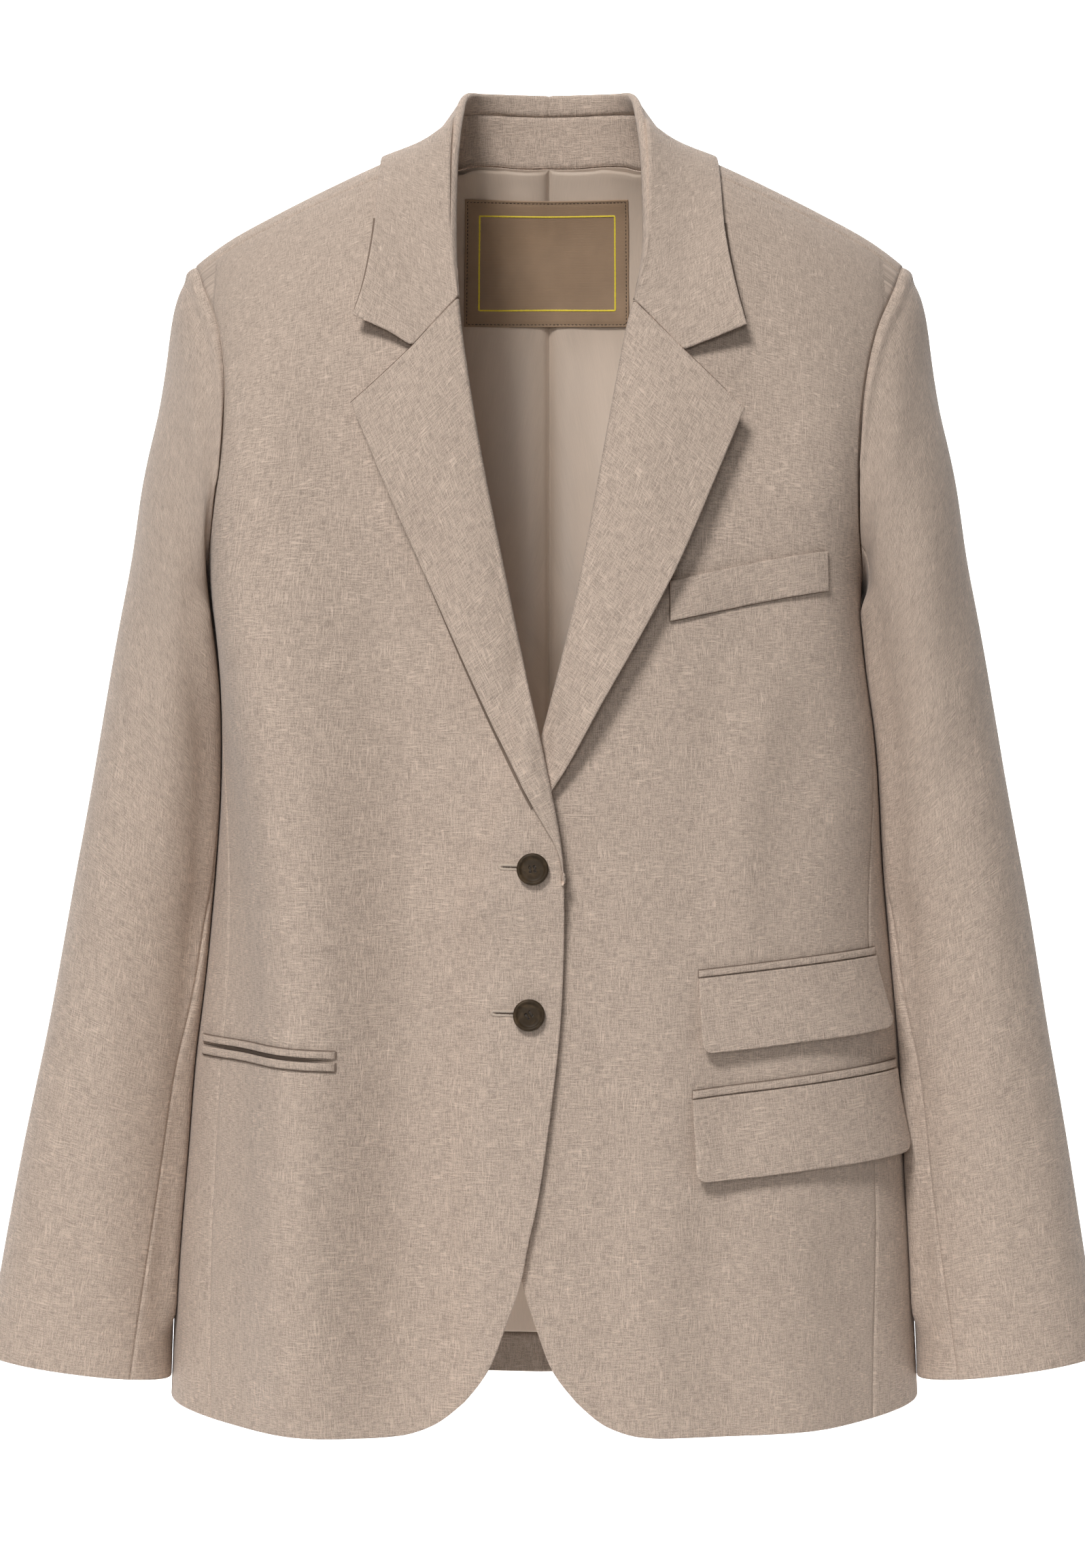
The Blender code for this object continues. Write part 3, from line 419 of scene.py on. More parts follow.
def armholeRow(sign, behind):
    marks = bodyCut["armholeBack" if behind else "armholeFront"]
    g = math.asin(form["shoulderHalf"] / float(ringAt(marks[0][1])[0])) * form["girthRadius"]
    if behind:
        g = math.pi * form["girthRadius"] - g
    under = [(sign * math.pi / 2 * form["girthRadius"], 0.0)]
    return through(np.concatenate([[(sign * g, form["rise"])], gh(marks[1:-1], sign, behind), under]), 6)


def nearest(row, height):
    return int(np.argmin(np.abs(row[:, 1] - height)))


def sideSeam(name, sign, behind):
    rows = bodyCut[name]
    z = np.linspace(rows[0][0], rows[-1][0], 13)
    angle = np.arcsin(np.minimum(0.999, curve(rows, z)[..., 0]))
    if behind:
        angle = math.pi - angle
    z[0] = hemZ(angle[0])
    above = girth(ringAt(z)[..., 0] * np.sin(angle), z, behind)[..., 1]
    h = np.where(z > form["armpit"], above, z - form["armpit"])
    row = np.stack([sign * angle * form["girthRadius"], h], -1)
    armhole = armholeRow(sign, behind)
    row[-1] = armhole[nearest(armhole, row[-1, 1])]
    return row


def shoulderSeam(sign):
    row = armholeRow(sign, False)
    end = row[nearest(row, form["rise"] * (1 - form["seamForward"]))]
    neck = bodyCut["neckFront"][0]
    start = girth(sign * neck[0], neck[1] + 0.0025)
    share = np.linspace(0, 1, 9)[:, None]
    bow = np.concatenate([0 * share, form["shoulderBow"] * np.sin(share * math.pi)], 1)
    return start + (end - start) * share + bow


def toBack(row):
    # the same points, counted from the back instead of the front
    row = np.atleast_2d(row)
    half = np.sign(row[:, 0]) * math.pi * form["girthRadius"]
    return np.stack([half - row[:, 0], 2 * form["rise"] - row[:, 1]], -1)


def rollMarks(side, inset):
    # the roll line, drawn back from the opening by what the rolled edge of the lapel needs
    sign = -1 if side == "right" else 1
    marks = np.array(lapelCut["roll"][side])
    marks[:, 0] += sign * inset * ease(-0.445, -0.410, marks[:, 1])
    return marks


def frontPatch(side):
    sign = -1 if side == "right" else 1
    armhole, shoulder = armholeRow(sign, False), shoulderSeam(sign)
    seam = sideSeam("frontSideSeam", sign, False)
    edge = np.array([(float(centreFront(z)) - sign * out, z) for out, z in bodyCut["frontEdge"]])
    roll = rollMarks(side, lapelCut["rollRadius"] + 0.0004)
    neck = np.array(bodyCut["neckFront"])[::-1] * (sign, 1)
    toNeck = np.concatenate([girth(*np.concatenate([roll[-1:], neck]).T), shoulder[:1]])
    rows = [through(girth(*edge.T), 4)[:-1], through(girth(*roll.T), 4)[:-1], through(toNeck, 4)]
    inner = np.concatenate(rows)
    start, stop = nearest(armhole, shoulder[-1, 1]), nearest(armhole, seam[-1, 1])
    outer = np.concatenate([through(seam, 2)[:-1], armhole[start : stop + 1][::-1]])
    turn = girth(*np.array([(float(centreFront(z)) - sign * out, z) for out, z in bodyCut["hemCurve"]]).T)
    g = np.abs(turn[-1, 0]) + (np.abs(seam[0, 0]) - np.abs(turn[-1, 0])) * np.linspace(0, 1, 9)[1:]
    rest = np.stack([sign * g, hemZ(g / form["girthRadius"]) - form["armpit"]], -1)
    hem = through(np.concatenate([turn, rest]), 4)
    return patch(along(hem), along(through(shoulder, 2)), along(inner), along(outer))


def neckBack(sign):
    marks = np.array(bodyCut["neckBack"])
    marks[:, 0] = np.maximum(marks[:, 0], 1e-6)
    return through(np.concatenate([gh(marks, sign, True), toBack(shoulderSeam(sign)[0])]), 5)


def backPatch(sign):
    armhole, frontArmhole = armholeRow(sign, True), armholeRow(sign, False)
    seam = sideSeam("backSideSeam", sign, True)
    middle = sign * math.pi * form["girthRadius"]
    over = toBack(frontArmhole[1 : nearest(frontArmhole, shoulderSeam(sign)[-1, 1]) + 1])
    stop = nearest(armhole, seam[-1, 1])
    outer = np.concatenate([through(seam, 2)[:-1], armhole[: stop + 1][::-1], over])
    neck = neckBack(sign)
    top = np.concatenate([neck[:-1], toBack(shoulderSeam(sign))])
    g = np.linspace(middle, seam[0, 0], 11)
    hem = np.stack([g, hemZ(g / form["girthRadius"]) - form["armpit"]], -1)
    inner = np.array([hem[0], (middle, neck[0, 1])])
    return patch(along(hem), along(top), along(inner), along(outer))


def sidePatch(sign):
    front, back = sideSeam("frontSideSeam", sign, False), sideSeam("backSideSeam", sign, True)
    g = np.linspace(front[0, 0], back[0, 0], 9)
    hem = np.stack([g, hemZ(g / form["girthRadius"]) - form["armpit"]], -1)
    lowFront, lowBack = armholeRow(sign, False), armholeRow(sign, True)
    forward = lowFront[nearest(lowFront, front[-1, 1]) :]
    top = np.concatenate([forward, lowBack[nearest(lowBack, back[-1, 1]) : -1][::-1]])
    return patch(along(hem), along(top), along(through(front, 2)), along(through(back, 2)))


def overlapLift(x, z):
    # how far the right front stands off where it lies over the left one
    low = centreFront(z) - bodyCut["underEdge"]
    over = ease(low - 0.030, low - 0.004, x)
    rows = np.array(lapelCut["roll"]["left"])[:, ::-1]
    edge = curve(rows, np.clip(z, rows[0, 0], rows[-1, 0]))[..., 0]
    over = np.where(z > rows[0, 0], ease(edge - 0.026, edge - 0.003, x), over)
    return over * (bodyCut["overlapLift"] + ease(-0.485, -0.448, z) * bodyCut["overLapelLift"])


def onFront(points, lift=0.0, right=False):
    # lays points of x and z on the front of the body
    points = np.asarray(points, float)
    x, z = points[..., 0], points[..., 1]
    lift = np.asarray(lift) + (overlapLift(x, z) if right else 0.0)
    return offBody(*np.moveaxis(girth(x, z), -1, 0), lift)


cloth = {
    "turnedRadius": 0.0013,
    "seamDepth": 0.00085,
    "seamWidth": 0.0012,
    "closeLines": (0.0, 0.0002, 0.0005, 0.0009, 0.0014, 0.0022, 0.0034),
    "thickness": 0.0018,
    "leastWall": 0.00008,
    "leastCut": 0.011,
}
allTurned = ("turned",) * 4


def lines(step, width, start="turned", end="turned"):
    # shares from 0 to 1, a step apart, with close lines where an edge is finished
    count = max(2, round(width / step))
    values = set(np.round(np.linspace(0, 1, count + 1), 6))
    for kind, side in ((start, 0), (end, 1)):
        if kind != "open":
            close = [near / width for near in cloth["closeLines"]]
            values = {v for v in values if abs(v - side) > close[-1] * 1.25 or v == side}
            values |= {round(abs(side - near), 6) for near in close}
    return np.array(sorted(values))


def edgeDrop(kind, distance, thickness):
    # how much an edge takes off the outer face, and off the inner one
    if kind == "turned":
        radius = cloth["turnedRadius"] * max(0.6, thickness / cloth["thickness"])
        share = np.clip(1 - distance / radius, 0, 1)
        drop = thickness * 0.47 * (1 - np.sqrt(np.maximum(0, 1 - share**2)))
        return drop, drop
    if kind == "seam":
        drop = cloth["seamDepth"] * np.exp(-((distance / cloth["seamWidth"]) ** 2))
        return drop, 0 * drop
    return 0 * distance, 0 * distance


# which way the outer face of a piece looks
def awayFromMiddle(points):
    return points * (1, 1, 0) + (0, 0, 0.03)


def towardsMiddle(points):
    return -awayFromMiddle(points)


def linked(name, data):
    # an object of the scene for a mesh, a light or a camera
    made = bpy.data.objects.new(name, data)
    bpy.context.scene.collection.objects.link(made)
    return made


def runAlong(points, axis):
    # how far each point of a grid lies from the first of its row or column
    steps = np.cumsum(np.linalg.norm(np.diff(points, axis=axis), axis=-1), axis=axis)
    return np.concatenate([0 * steps.take([0], axis), steps], axis)


def makeShell(name, outer, thickness, edges, grain, materials, facing, sink):
    # outer is a grid of points, rows by columns; edges are left, right, bottom and top
    rows, columns = outer.shape[:2]
    across, up = np.gradient(outer, axis=1), np.gradient(outer, axis=0)
    normal = np.cross(across, up)
    normal /= np.maximum(1e-12, np.linalg.norm(normal, axis=-1, keepdims=True))
    turned = float((normal * facing(outer)).sum()) < 0
    if turned:
        normal = -normal
    runS, runT = runAlong(outer, 1), runAlong(outer, 0)
    outDrop, inDrop = np.zeros((rows, columns)), np.zeros((rows, columns))
    for kind, distance in zip(edges, (runS, runS[:, -1:] - runS, runT, runT[-1:] - runT)):
        out, inner = edgeDrop(kind, distance, thickness)
        outDrop, inDrop = np.maximum(outDrop, out), np.maximum(inDrop, inner)
    outDrop = outDrop + sink
    outside = swung(outer - normal * outDrop[..., None])
    inDepth = np.maximum(thickness - inDrop, outDrop + cloth["leastWall"])
    inside = swung(outer - normal * inDepth[..., None])
    count = rows * columns
    index = np.arange(count).reshape(rows, columns)
    quads = np.stack([index[:-1, :-1], index[:-1, 1:], index[1:, 1:], index[1:, :-1]], -1)
    quads = quads.reshape(-1, 4)
    rim = np.concatenate([index[0, :-1], index[:-1, -1], index[-1, :0:-1], index[:0:-1, 0]])
    ring = np.stack([rim, np.roll(rim, -1), np.roll(rim, -1) + count, rim + count], -1)
    faces = np.concatenate([quads, quads[:, ::-1] + count, ring[:, ::-1]])
    if turned:
        faces = faces[:, ::-1]
    mesh = bpy.data.meshes.new(name)
    points = np.concatenate([outside.reshape(-1, 3), inside.reshape(-1, 3)])
    mesh.from_pydata(points.tolist(), [], faces.tolist())
    mesh.shade_smooth()
    flat = np.concatenate([grain.reshape(-1, 2)] * 2)
    layer = mesh.uv_layers.new(name="grain")
    order = np.empty(len(mesh.loops), np.int32)
    mesh.loops.foreach_get("vertex_index", order)
    layer.data.foreach_set("uv", flat[order].astype(np.float32).ravel())
    for material in materials:
        mesh.materials.append(material)
    if len(materials) > 1:
        slots = np.zeros(len(mesh.polygons), np.int32)
        slots[len(quads) : 2 * len(quads)] = 1
        mesh.polygons.foreach_set("material_index", slots)
    mesh.update()
    return linked(name, mesh)


def spread(piece):
    # width and length that hold the cut, from the grain map
    uv = np.empty(len(piece.data.loops) * 2, np.float32)
    piece.data.uv_layers["grain"].data.foreach_get("uv", uv)
    return np.ptp(uv.reshape(-1, 2), axis=0)


def settle(piece, nodes):
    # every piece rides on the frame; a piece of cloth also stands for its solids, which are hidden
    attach(piece, "root")
    if nodes:
        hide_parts(*nodes)


class Value:
    # a socket that takes plain arithmetic
    def __init__(self, paint, socket):
        self.paint, self.socket = paint, socket

    def join(self, operation, other, swap=False):
        first, second = (other, self) if swap else (self, other)
        inputs = {0: first, 1: second}
        return self.paint.out("ShaderNodeMath", {"operation": operation}, inputs)

    def __add__(self, other):
        return self.join("ADD", other)

    def __radd__(self, other):
        return self.join("ADD", other, True)

    def __sub__(self, other):
        return self.join("SUBTRACT", other)

    def __rsub__(self, other):
        return self.join("SUBTRACT", other, True)

    def __mul__(self, other):
        return self.join("MULTIPLY", other)

    def __rmul__(self, other):
        return self.join("MULTIPLY", other, True)


class Paint:
    # one material, with its nodes added by one method
    def __init__(self, name, colour, roughness, sheen=0.0, specular=0.5):
        self.material = bpy.data.materials.new(name)
        self.material.use_nodes = True
        self.material.diffuse_color = (*colour, 1)
        self.tree = self.material.node_tree
        self.shader = self.tree.nodes["Principled BSDF"]
        self.set("Base Color", (*colour, 1))
        self.set("Roughness", roughness)
        self.set("Sheen Weight", sheen)
        self.set("Sheen Roughness", 0.45)
        self.set("Specular IOR Level", specular)

    def set(self, name, value):
        socket = self.shader.inputs[name]
        if isinstance(value, Value):
            self.tree.links.new(value.socket, socket)
        else:
            socket.default_value = value

    def add(self, kind, settings=None, inputs=None):
        node = self.tree.nodes.new(kind)
        for key, value in (settings or {}).items():
            setattr(node, key, value)
        for key, value in (inputs or {}).items():
            if isinstance(value, Value):
                self.tree.links.new(value.socket, node.inputs[key])
            else:
                node.inputs[key].default_value = value
        return node

    def out(self, kind, settings=None, inputs=None, output=0):
        return Value(self, self.add(kind, settings, inputs).outputs[output])

    def grain(self):
        return self.out("ShaderNodeUVMap", {"uv_map": "grain"})

    def place(self):
        return self.out("ShaderNodeTexCoord", output="Object")

    def streaks(self, coords, across, lengthwise, detail=2.0, seed=0.0):
        # noise drawn out along one way of the cloth, both sizes in metres
        stretch = {"Location": (seed, seed * 0.7, 0), "Scale": (1 / across, 1 / lengthwise, 1)}
        moved = self.out("ShaderNodeMapping", {}, {"Vector": coords, **stretch})
        inputs = {"Vector": moved, "Scale": 1.0, "Detail": detail, "Roughness": 0.55}
        return self.out("ShaderNodeTexNoise", {"noise_dimensions": "2D"}, inputs)

    def between(self, value, low, high):
        inputs = {"Value": value, "From Min": low, "From Max": high}
        return self.out("ShaderNodeMapRange", {"interpolation_type": "SMOOTHSTEP"}, inputs)

    def noise(self, coords, scale, detail, **more):
        inputs = {"Vector": coords, "Scale": scale, "Detail": detail, **more}
        return self.out("ShaderNodeTexNoise", {}, inputs)

    def mix(self, share, first, second):
        settings = {"data_type": "RGBA", "blend_type": "MIX"}
        inputs = {"Factor": share}
        node = self.add("ShaderNodeMix", settings, inputs)
        for index, end in ((6, first), (7, second)):
            if isinstance(end, Value):
                self.tree.links.new(end.socket, node.inputs[index])
            else:
                node.inputs[index].default_value = (*end, 1)
        return Value(self, node.outputs[2])

    def bump(self, height, distance, strength=1.0):
        inputs = {"Height": height, "Distance": distance, "Strength": strength}
        self.set("Normal", self.out("ShaderNodeBump", {}, inputs))


def tone(colour, factor):
    return tuple(min(1.0, part * factor) for part in colour)


# sizes in metres; a run is the length of a streak along its thread
weave = {
    "colour": (0.470, 0.372, 0.303),
    "thread": 0.00062,
    "run": 0.0070,
    "speck": 0.0007,
    "contrast": 0.33,
    "slub": 0.50,
    "slubWide": 0.0009,
    "slubRun": 0.010,
    "slubFrom": (0.56, 0.66),
    "cluster": (0.020, 0.034),
    "clusterFrom": (0.46, 0.62),
    "wander": 0.0016,
    "relief": 0.00034,
}


def weaveCloth(name, tint=1.0):
    # a melange plain weave: fine threads both ways, light slubs in loose clusters, faint soft patches
    # a shade factor below 1 gives a darker copy of the same cloth: painted shade
    colour = tone(weave["colour"], tint)
    paint = Paint(name, colour, 0.92, sheen=0.12, specular=0.22)
    uv = paint.grain()
    flat = {"noise_dimensions": "2D"}
    wander = paint.out("ShaderNodeTexNoise", flat, {"Vector": uv, "Scale": 70.0, "Detail": 1.0}, "Color")
    shift = paint.out("ShaderNodeVectorMath", {"operation": "SCALE"}, {0: wander, "Scale": weave["wander"]})
    uv = paint.out("ShaderNodeVectorMath", {"operation": "ADD"}, {0: uv, 1: shift})
    thread, run = weave["thread"], weave["run"]
    warp = paint.streaks(uv, thread, run, 2.0, 3.0)
    weft = paint.streaks(uv, run, thread, 2.0, 11.0)
    speck = paint.streaks(uv, weave["speck"], weave["speck"], 2.0, 23.0)
    wide, slubRun = weave["slubWide"], weave["slubRun"]
    slubWarp = paint.between(paint.streaks(uv, wide, slubRun, 1.0, 51.0), *weave["slubFrom"])
    slubWeft = paint.between(paint.streaks(uv, slubRun, wide, 1.0, 67.0), *weave["slubFrom"])
    short, tall = weave["cluster"]
    warpHere = paint.between(paint.streaks(uv, short, tall, 1.0, 31.0), *weave["clusterFrom"])
    weftHere = paint.between(paint.streaks(uv, tall, short, 1.0, 43.0), *weave["clusterFrom"])
    slubs = slubWarp * warpHere + slubWeft * weftHere
    patches = paint.streaks(uv, 0.012, 0.016, 2.0, 5.0)
    share = (warp + weft + speck - 1.5) * 0.9 + (patches - 0.5) * 0.16 + 0.5
    contrast = weave["contrast"]
    share = paint.between(share, 0.0, 1.0)
    base = paint.mix(share, tone(colour, 1 - contrast), tone(colour, 1 + contrast))
    base = paint.mix(slubs * weave["slub"], base, tone(colour, 1.55))
    paint.set("Base Color", base)
    paint.bump((warp + weft) * 0.5 + speck * 0.3 + slubs * 0.5, weave["relief"], 0.9)
    return paint.material


def satin(name, colour):
    # a smooth lining with a fine warp and a soft sheen
    paint = Paint(name, colour, 0.42, sheen=0.15, specular=0.45)
    uv = paint.grain()
    warp = paint.streaks(uv, 0.0004, 0.012, 2.0, 2.0)
    soft = paint.streaks(uv, 0.030, 0.110, 2.0, 9.0)
    share = paint.between((warp - 0.5) * 0.5 + (soft - 0.5) * 0.9 + 0.5, 0.0, 1.0)
    paint.set("Base Color", paint.mix(share, tone(colour, 0.90), tone(colour, 1.12)))
    paint.set("Roughness", soft * 0.14 + 0.34)
    paint.bump(warp, 0.00006, 0.5)
    return paint.material


def labelCloth(name, colour):
    # a close ribbed ground with soft clouds of light and dark
    paint = Paint(name, colour, 0.58, sheen=0.1, specular=0.4)
    uv = paint.grain()
    inputs = {"Vector": uv, "Scale": 420.0, "Distortion": 0.6}
    rib = paint.out("ShaderNodeTexWave", {"bands_direction": "Y"}, inputs)
    rib = paint.between(rib, 0.0, 1.0)
    cloudy = paint.streaks(uv, 0.020, 0.030, 3.0, 4.0)
    base = paint.mix(cloudy, tone(colour, 0.82), tone(colour, 1.18))
    paint.set("Base Color", paint.mix(rib * 0.16, base, tone(colour, 0.7)))
    paint.bump(rib, 0.00006, 0.6)
    return paint.material


def horn(name, colour):
    # dark polished horn with faint lighter clouds
    paint = Paint(name, colour, 0.50, specular=0.16)
    point = paint.place()
    cloud = paint.noise(point, 160.0, 4.0, Distortion=1.2)
    fine = paint.noise(point, 1500.0, 2.0)
    base = paint.mix(paint.between(cloud, 0.40, 0.72), colour, tone(colour, 1.9))
    paint.set("Base Color", base)
    paint.set("Roughness", fine * 0.14 + 0.42)
    paint.bump(fine, 0.00002, 0.5)
    return paint.material


def thread(name, colour):
    # a twisted sewing thread
    paint = Paint(name, colour, 0.7, sheen=0.2, specular=0.35)
    twist = paint.noise(paint.place(), 3000.0, 1.0)
    paint.set("Base Color", paint.mix(twist, tone(colour, 0.75), tone(colour, 1.25)))
    paint.bump(twist, 0.00005, 0.5)
    return paint.material


def matt(name, colour):
    # dull and almost even, for what lies in shade
    paint = Paint(name, colour, 0.95, specular=0.2)
    speck = paint.noise(paint.place(), 3.0, 2.0)
    paint.set("Base Color", paint.mix(speck, tone(colour, 0.985), tone(colour, 1.0)))
    return paint.material


finishes = {
    "cloth": weaveCloth("wool_linen"),
    # a darker copy of the cloth for the turned hem inside the back: painted shade where the fronts hang
    # over it
    "hem": weaveCloth("wool_linen_hem", 0.62),
    "lining": satin("satin_lining", (0.585, 0.475, 0.385)),
    "label": labelCloth("label_ground", (0.315, 0.212, 0.133)),
    "yellow": thread("yellow_thread", (0.78, 0.62, 0.05)),
    "darkThread": thread("brown_thread", (0.045, 0.030, 0.020)),
    "holeThread": thread("buttonhole_thread", (0.62, 0.52, 0.43)),
    "button": horn("button_horn", (0.040, 0.026, 0.014)),
    # a near-black for the pocket mouth and the buttonhole slits: painted shade of the openings
    "dark": matt("pocket_inside", (0.070, 0.050, 0.038)),
    # a dull brown for thin lines of painted shade under edges
    "crease": matt("seam_crease", (0.200, 0.148, 0.115)),
}
print("finishes made:", len(finishes))


def sizes(place):
    # rough width and height of a piece, for its grid
    share, half = np.linspace(0, 1, 40), np.full(40, 0.5)
    across, up = place(share, half), place(half, share)
    return [float(np.linalg.norm(np.diff(row, axis=0), axis=-1).sum()) for row in (across, up)]


def grainDown(place, anchor=0.5):
    # the warp runs down the piece: a map in metres, measured from one column of it
    def grain(s, t):
        points = place(s, t)
        across = runAlong(points, 1)
        column = int(anchor * (across.shape[1] - 1))
        down = runAlong(points[:, [column]], 0)
        return np.stack([across - across[:, [column]], np.broadcast_to(down, across.shape)], -1)

    return grain


bodyCloth = {"frontStep": 0.0032, "backStep": 0.0042, "plumbRadius": 0.205}


def panelGrain(cut, plumb=False):
    # the warp runs down the panel; plumb keeps it upright as seen from the front
    def grain(s, t):
        g, h = np.moveaxis(cut(s, t), -1, 0)
        if plumb:
            radius = bodyCloth["plumbRadius"]
            g = radius * np.arcsin(np.clip(body(g, h)[..., 0] / radius, -1, 1))
        return np.stack([g, h], -1)

    return grain


def laid(
    name,
    place,
    step,
    edges,
    nodes,
    materials=None,
    sLines=None,
    tLines=None,
    grain=None,
    thickness=cloth["thickness"],
    facing=awayFromMiddle,
    sink=None,
):
    # lays one piece of cloth, measures its cut, and hides the solids that it stands for
    width, height = sizes(place)
    sLines = lines(step, width, edges[0], edges[1]) if sLines is None else sLines
    tLines = lines(step, height, edges[2], edges[3]) if tLines is None else tLines
    t, s = np.meshgrid(tLines, sLines, indexing="ij")
    grainRows = (grain or grainDown(place))(s, t)
    sunk = sink(s, t) if sink else 0.0
    materials = materials or [finishes["cloth"]]
    piece = makeShell(name, place(s, t), thickness, edges, grainRows, materials, facing, sunk)
    wide, high = (max(cloth["leastCut"], float(value)) for value in spread(piece))
    settle(piece, nodes)


def panelPlace(cut, over=False):
    # a panel on the body; over lifts it where it lies on top of another one
    def place(s, t):
        g, h = np.moveaxis(cut(s, t), -1, 0)
        point = body(g, h)
        return offBody(g, h, overlapLift(point[..., 0], point[..., 2]) if over else 0.0)

    return place


lined = [finishes["cloth"], finishes["lining"]]
for side, sign in sideNames:
    for name, node, cut, step, first in (
        ("front_panel_", "front_", frontPatch(side), bodyCloth["frontStep"], "turned"),
        ("back_panel_", "back_", backPatch(sign), bodyCloth["backStep"], "seam"),
        ("side_panel_", "side_body_", sidePatch(sign), bodyCloth["backStep"], "seam"),
    ):
        isFront = node == "front_"
        laid(
            name + side,
            panelPlace(cut, isFront and side == "right"),
            step,
            (first, "seam", "turned", "seam"),
            [node + side],
            materials=lined,
            grain=panelGrain(cut, isFront),
        )
print("body panels laid")

liningCloth = {
    "step": 0.0042,
    "wall": 0.0009,
    "lift": -0.0038,
    "endZ": -0.7412,
    "inset": 0.0005,
    "length": 0.9992,
    "puckerDepth": 0.0016,
    "sheenFolds": 0.0024,
    "ripple": 0.0003,
    "seamDepth": 0.0009,
    "seamWidth": 0.0045,
}
hemBand = {
    "step": 0.004,
    "reach": 0.97,
    "clear": 0.0006,
    "wave": 0.0004,
    "seamDepth": 0.0004,
    "seamWidth": 0.0016,
}
# the lining ends above the hem: by this share of the length below the armpit
liningShare = (liningCloth["endZ"] - form["armpit"]) / (float(hemZ(math.pi)) - form["armpit"])


def puckers(point):
    # small creases that fan up from the label to the neck, and long soft ones down the back
    x, z = point[..., 0], point[..., 2]
    fan = np.sin((x + 0.10 * (z - 0.01)) * 260 + 5 * np.sin(37 * x))
    fan = fan * ease(-0.030, 0.0, z) * (1 - ease(0.052, 0.07, np.abs(x)))
    long = np.sin(61 * x + 2.2 * np.sin(5.1 * z + 9 * x))
    long = long * ease(-0.10, -0.20, z) * ease(0.0, 0.03, np.abs(x))
    cross = np.sin(70 * z + 14 * x) * ease(-0.085, -0.11, z) * (1 - ease(-0.24, -0.16, -z - 0.4)) * 0.3
    depth = liningCloth["puckerDepth"] * 0.5 * (fan - 1) + liningCloth["sheenFolds"] * 0.5 * (long - 1)
    return depth + liningCloth["ripple"] * (cross - 1)


def seamDip(values, middle=0.0):
    # how deep a piece sinks along a seam at a share of its width
    def sink(s, t):
        return values["seamDepth"] * np.exp(-(((s - middle) / values["seamWidth"]) ** 2))

    return sink


def liningPlace(sign):
    cut = backPatch(sign)

    def place(s, t):
        g, h = np.moveaxis(cut(s, liningCloth["inset"] + liningCloth["length"] * t), -1, 0)
        h = np.where(h < 0, h * liningShare, h)
        point = body(g, h)
        return offBody(g, h, liningCloth["lift"] + puckers(point) * ease(0.0, 0.02, s))

    return place


for side, sign in sideNames:
    laid(
        "back_lining_" + side,
        liningPlace(sign),
        liningCloth["step"],
        ("seam", "seam", "turned", "seam"),
        ["lining_" + side],
        materials=[finishes["lining"]],
        thickness=liningCloth["wall"],
        facing=towardsMiddle,
        sink=seamDip(liningCloth),
    )


def hemBandPlace():
    right, left = backPatch(-1), backPatch(1)

    def place(s, t):
        share = hemBand["reach"] * np.abs(2 * s - 1)
        g = np.where(s < 0.5, right(share, 0 * s)[..., 0], left(share, 0 * s)[..., 0])
        hem = hemZ(g / form["girthRadius"])
        low = hem + hemBand["clear"]
        high = form["armpit"] + (hem - form["armpit"]) * liningShare - hemBand["clear"]
        h = low + (high - low) * t - form["armpit"]
        wave = hemBand["wave"] * np.sin(90 * g + 3 * np.sin(31 * g)) - hemBand["wave"]
        return offBody(g, h, liningCloth["lift"] + wave)

    return place


# the hem band wears the darkened copy of the cloth: painted shade
laid(
    "hem_band",
    hemBandPlace(),
    hemBand["step"],
    ("turned", "turned", "turned", "seam"),
    ["back_hem"],
    materials=[finishes["hem"]],
    thickness=liningCloth["wall"],
    facing=towardsMiddle,
    sink=seamDip(hemBand, 0.5),
    sLines=np.unique(np.concatenate([np.linspace(0, 1, 150), 0.5 + np.linspace(-0.006, 0.006, 9)])),
)

patchLabel = {
    "corners": ((-0.0558, -0.0088), (0.0526, -0.0088), (0.0526, -0.0887), (-0.0558, -0.0887)),
    "frame": ((-0.0464, -0.0186), (0.0438, -0.0186), (0.0438, -0.0778), (-0.0464, -0.0778)),
    "step": 0.0016,
    "lift": -0.0075,
    "wall": 0.0010,
    "stitchInset": 0.0017,
    "stitchDepth": 0.00035,
    "stitchWidth": 0.0006,
}


def quadXz(corners):
    # a flat patch between four corners of x and z, named from the top left round to the lower left
    topLeft, topRight, lowRight, lowLeft = (np.array(corner) for corner in corners)

    def place(s, t):
        a, b = np.asarray(s)[..., None], np.asarray(t)[..., None]
        low = lowLeft + (lowRight - lowLeft) * a
        high = topLeft + (topRight - topLeft) * a
        return low + (high - low) * b

    return place


def onBackInside(points, lift):
    # lays points of x and z on the inside of the back
    points = np.asarray(points, float)
    x, z = points[..., 0], points[..., 1]
    x = np.where(np.abs(x) < 1e-6, 1e-6, x)
    g, h = np.moveaxis(girth(x, z, True), -1, 0)
    sway = 0.0003 * np.sin(90 * x + 60 * z) + 0.0003 * np.sin(140 * z - 50 * x)
    return offBody(g, h, np.asarray(lift) + sway)


labelCut = quadXz(patchLabel["corners"])
labelWide = patchLabel["corners"][1][0] - patchLabel["corners"][0][0]
labelHigh = patchLabel["corners"][0][1] - patchLabel["corners"][3][1]


def labelEdge(s, t):
    # a row of stitching draws the label down just inside its folded edge
    near = np.minimum(np.minimum(s, 1 - s) * labelWide, np.minimum(t, 1 - t) * labelHigh)
    away = (near - patchLabel["stitchInset"]) / patchLabel["stitchWidth"]
    return patchLabel["stitchDepth"] * np.exp(-(away**2))


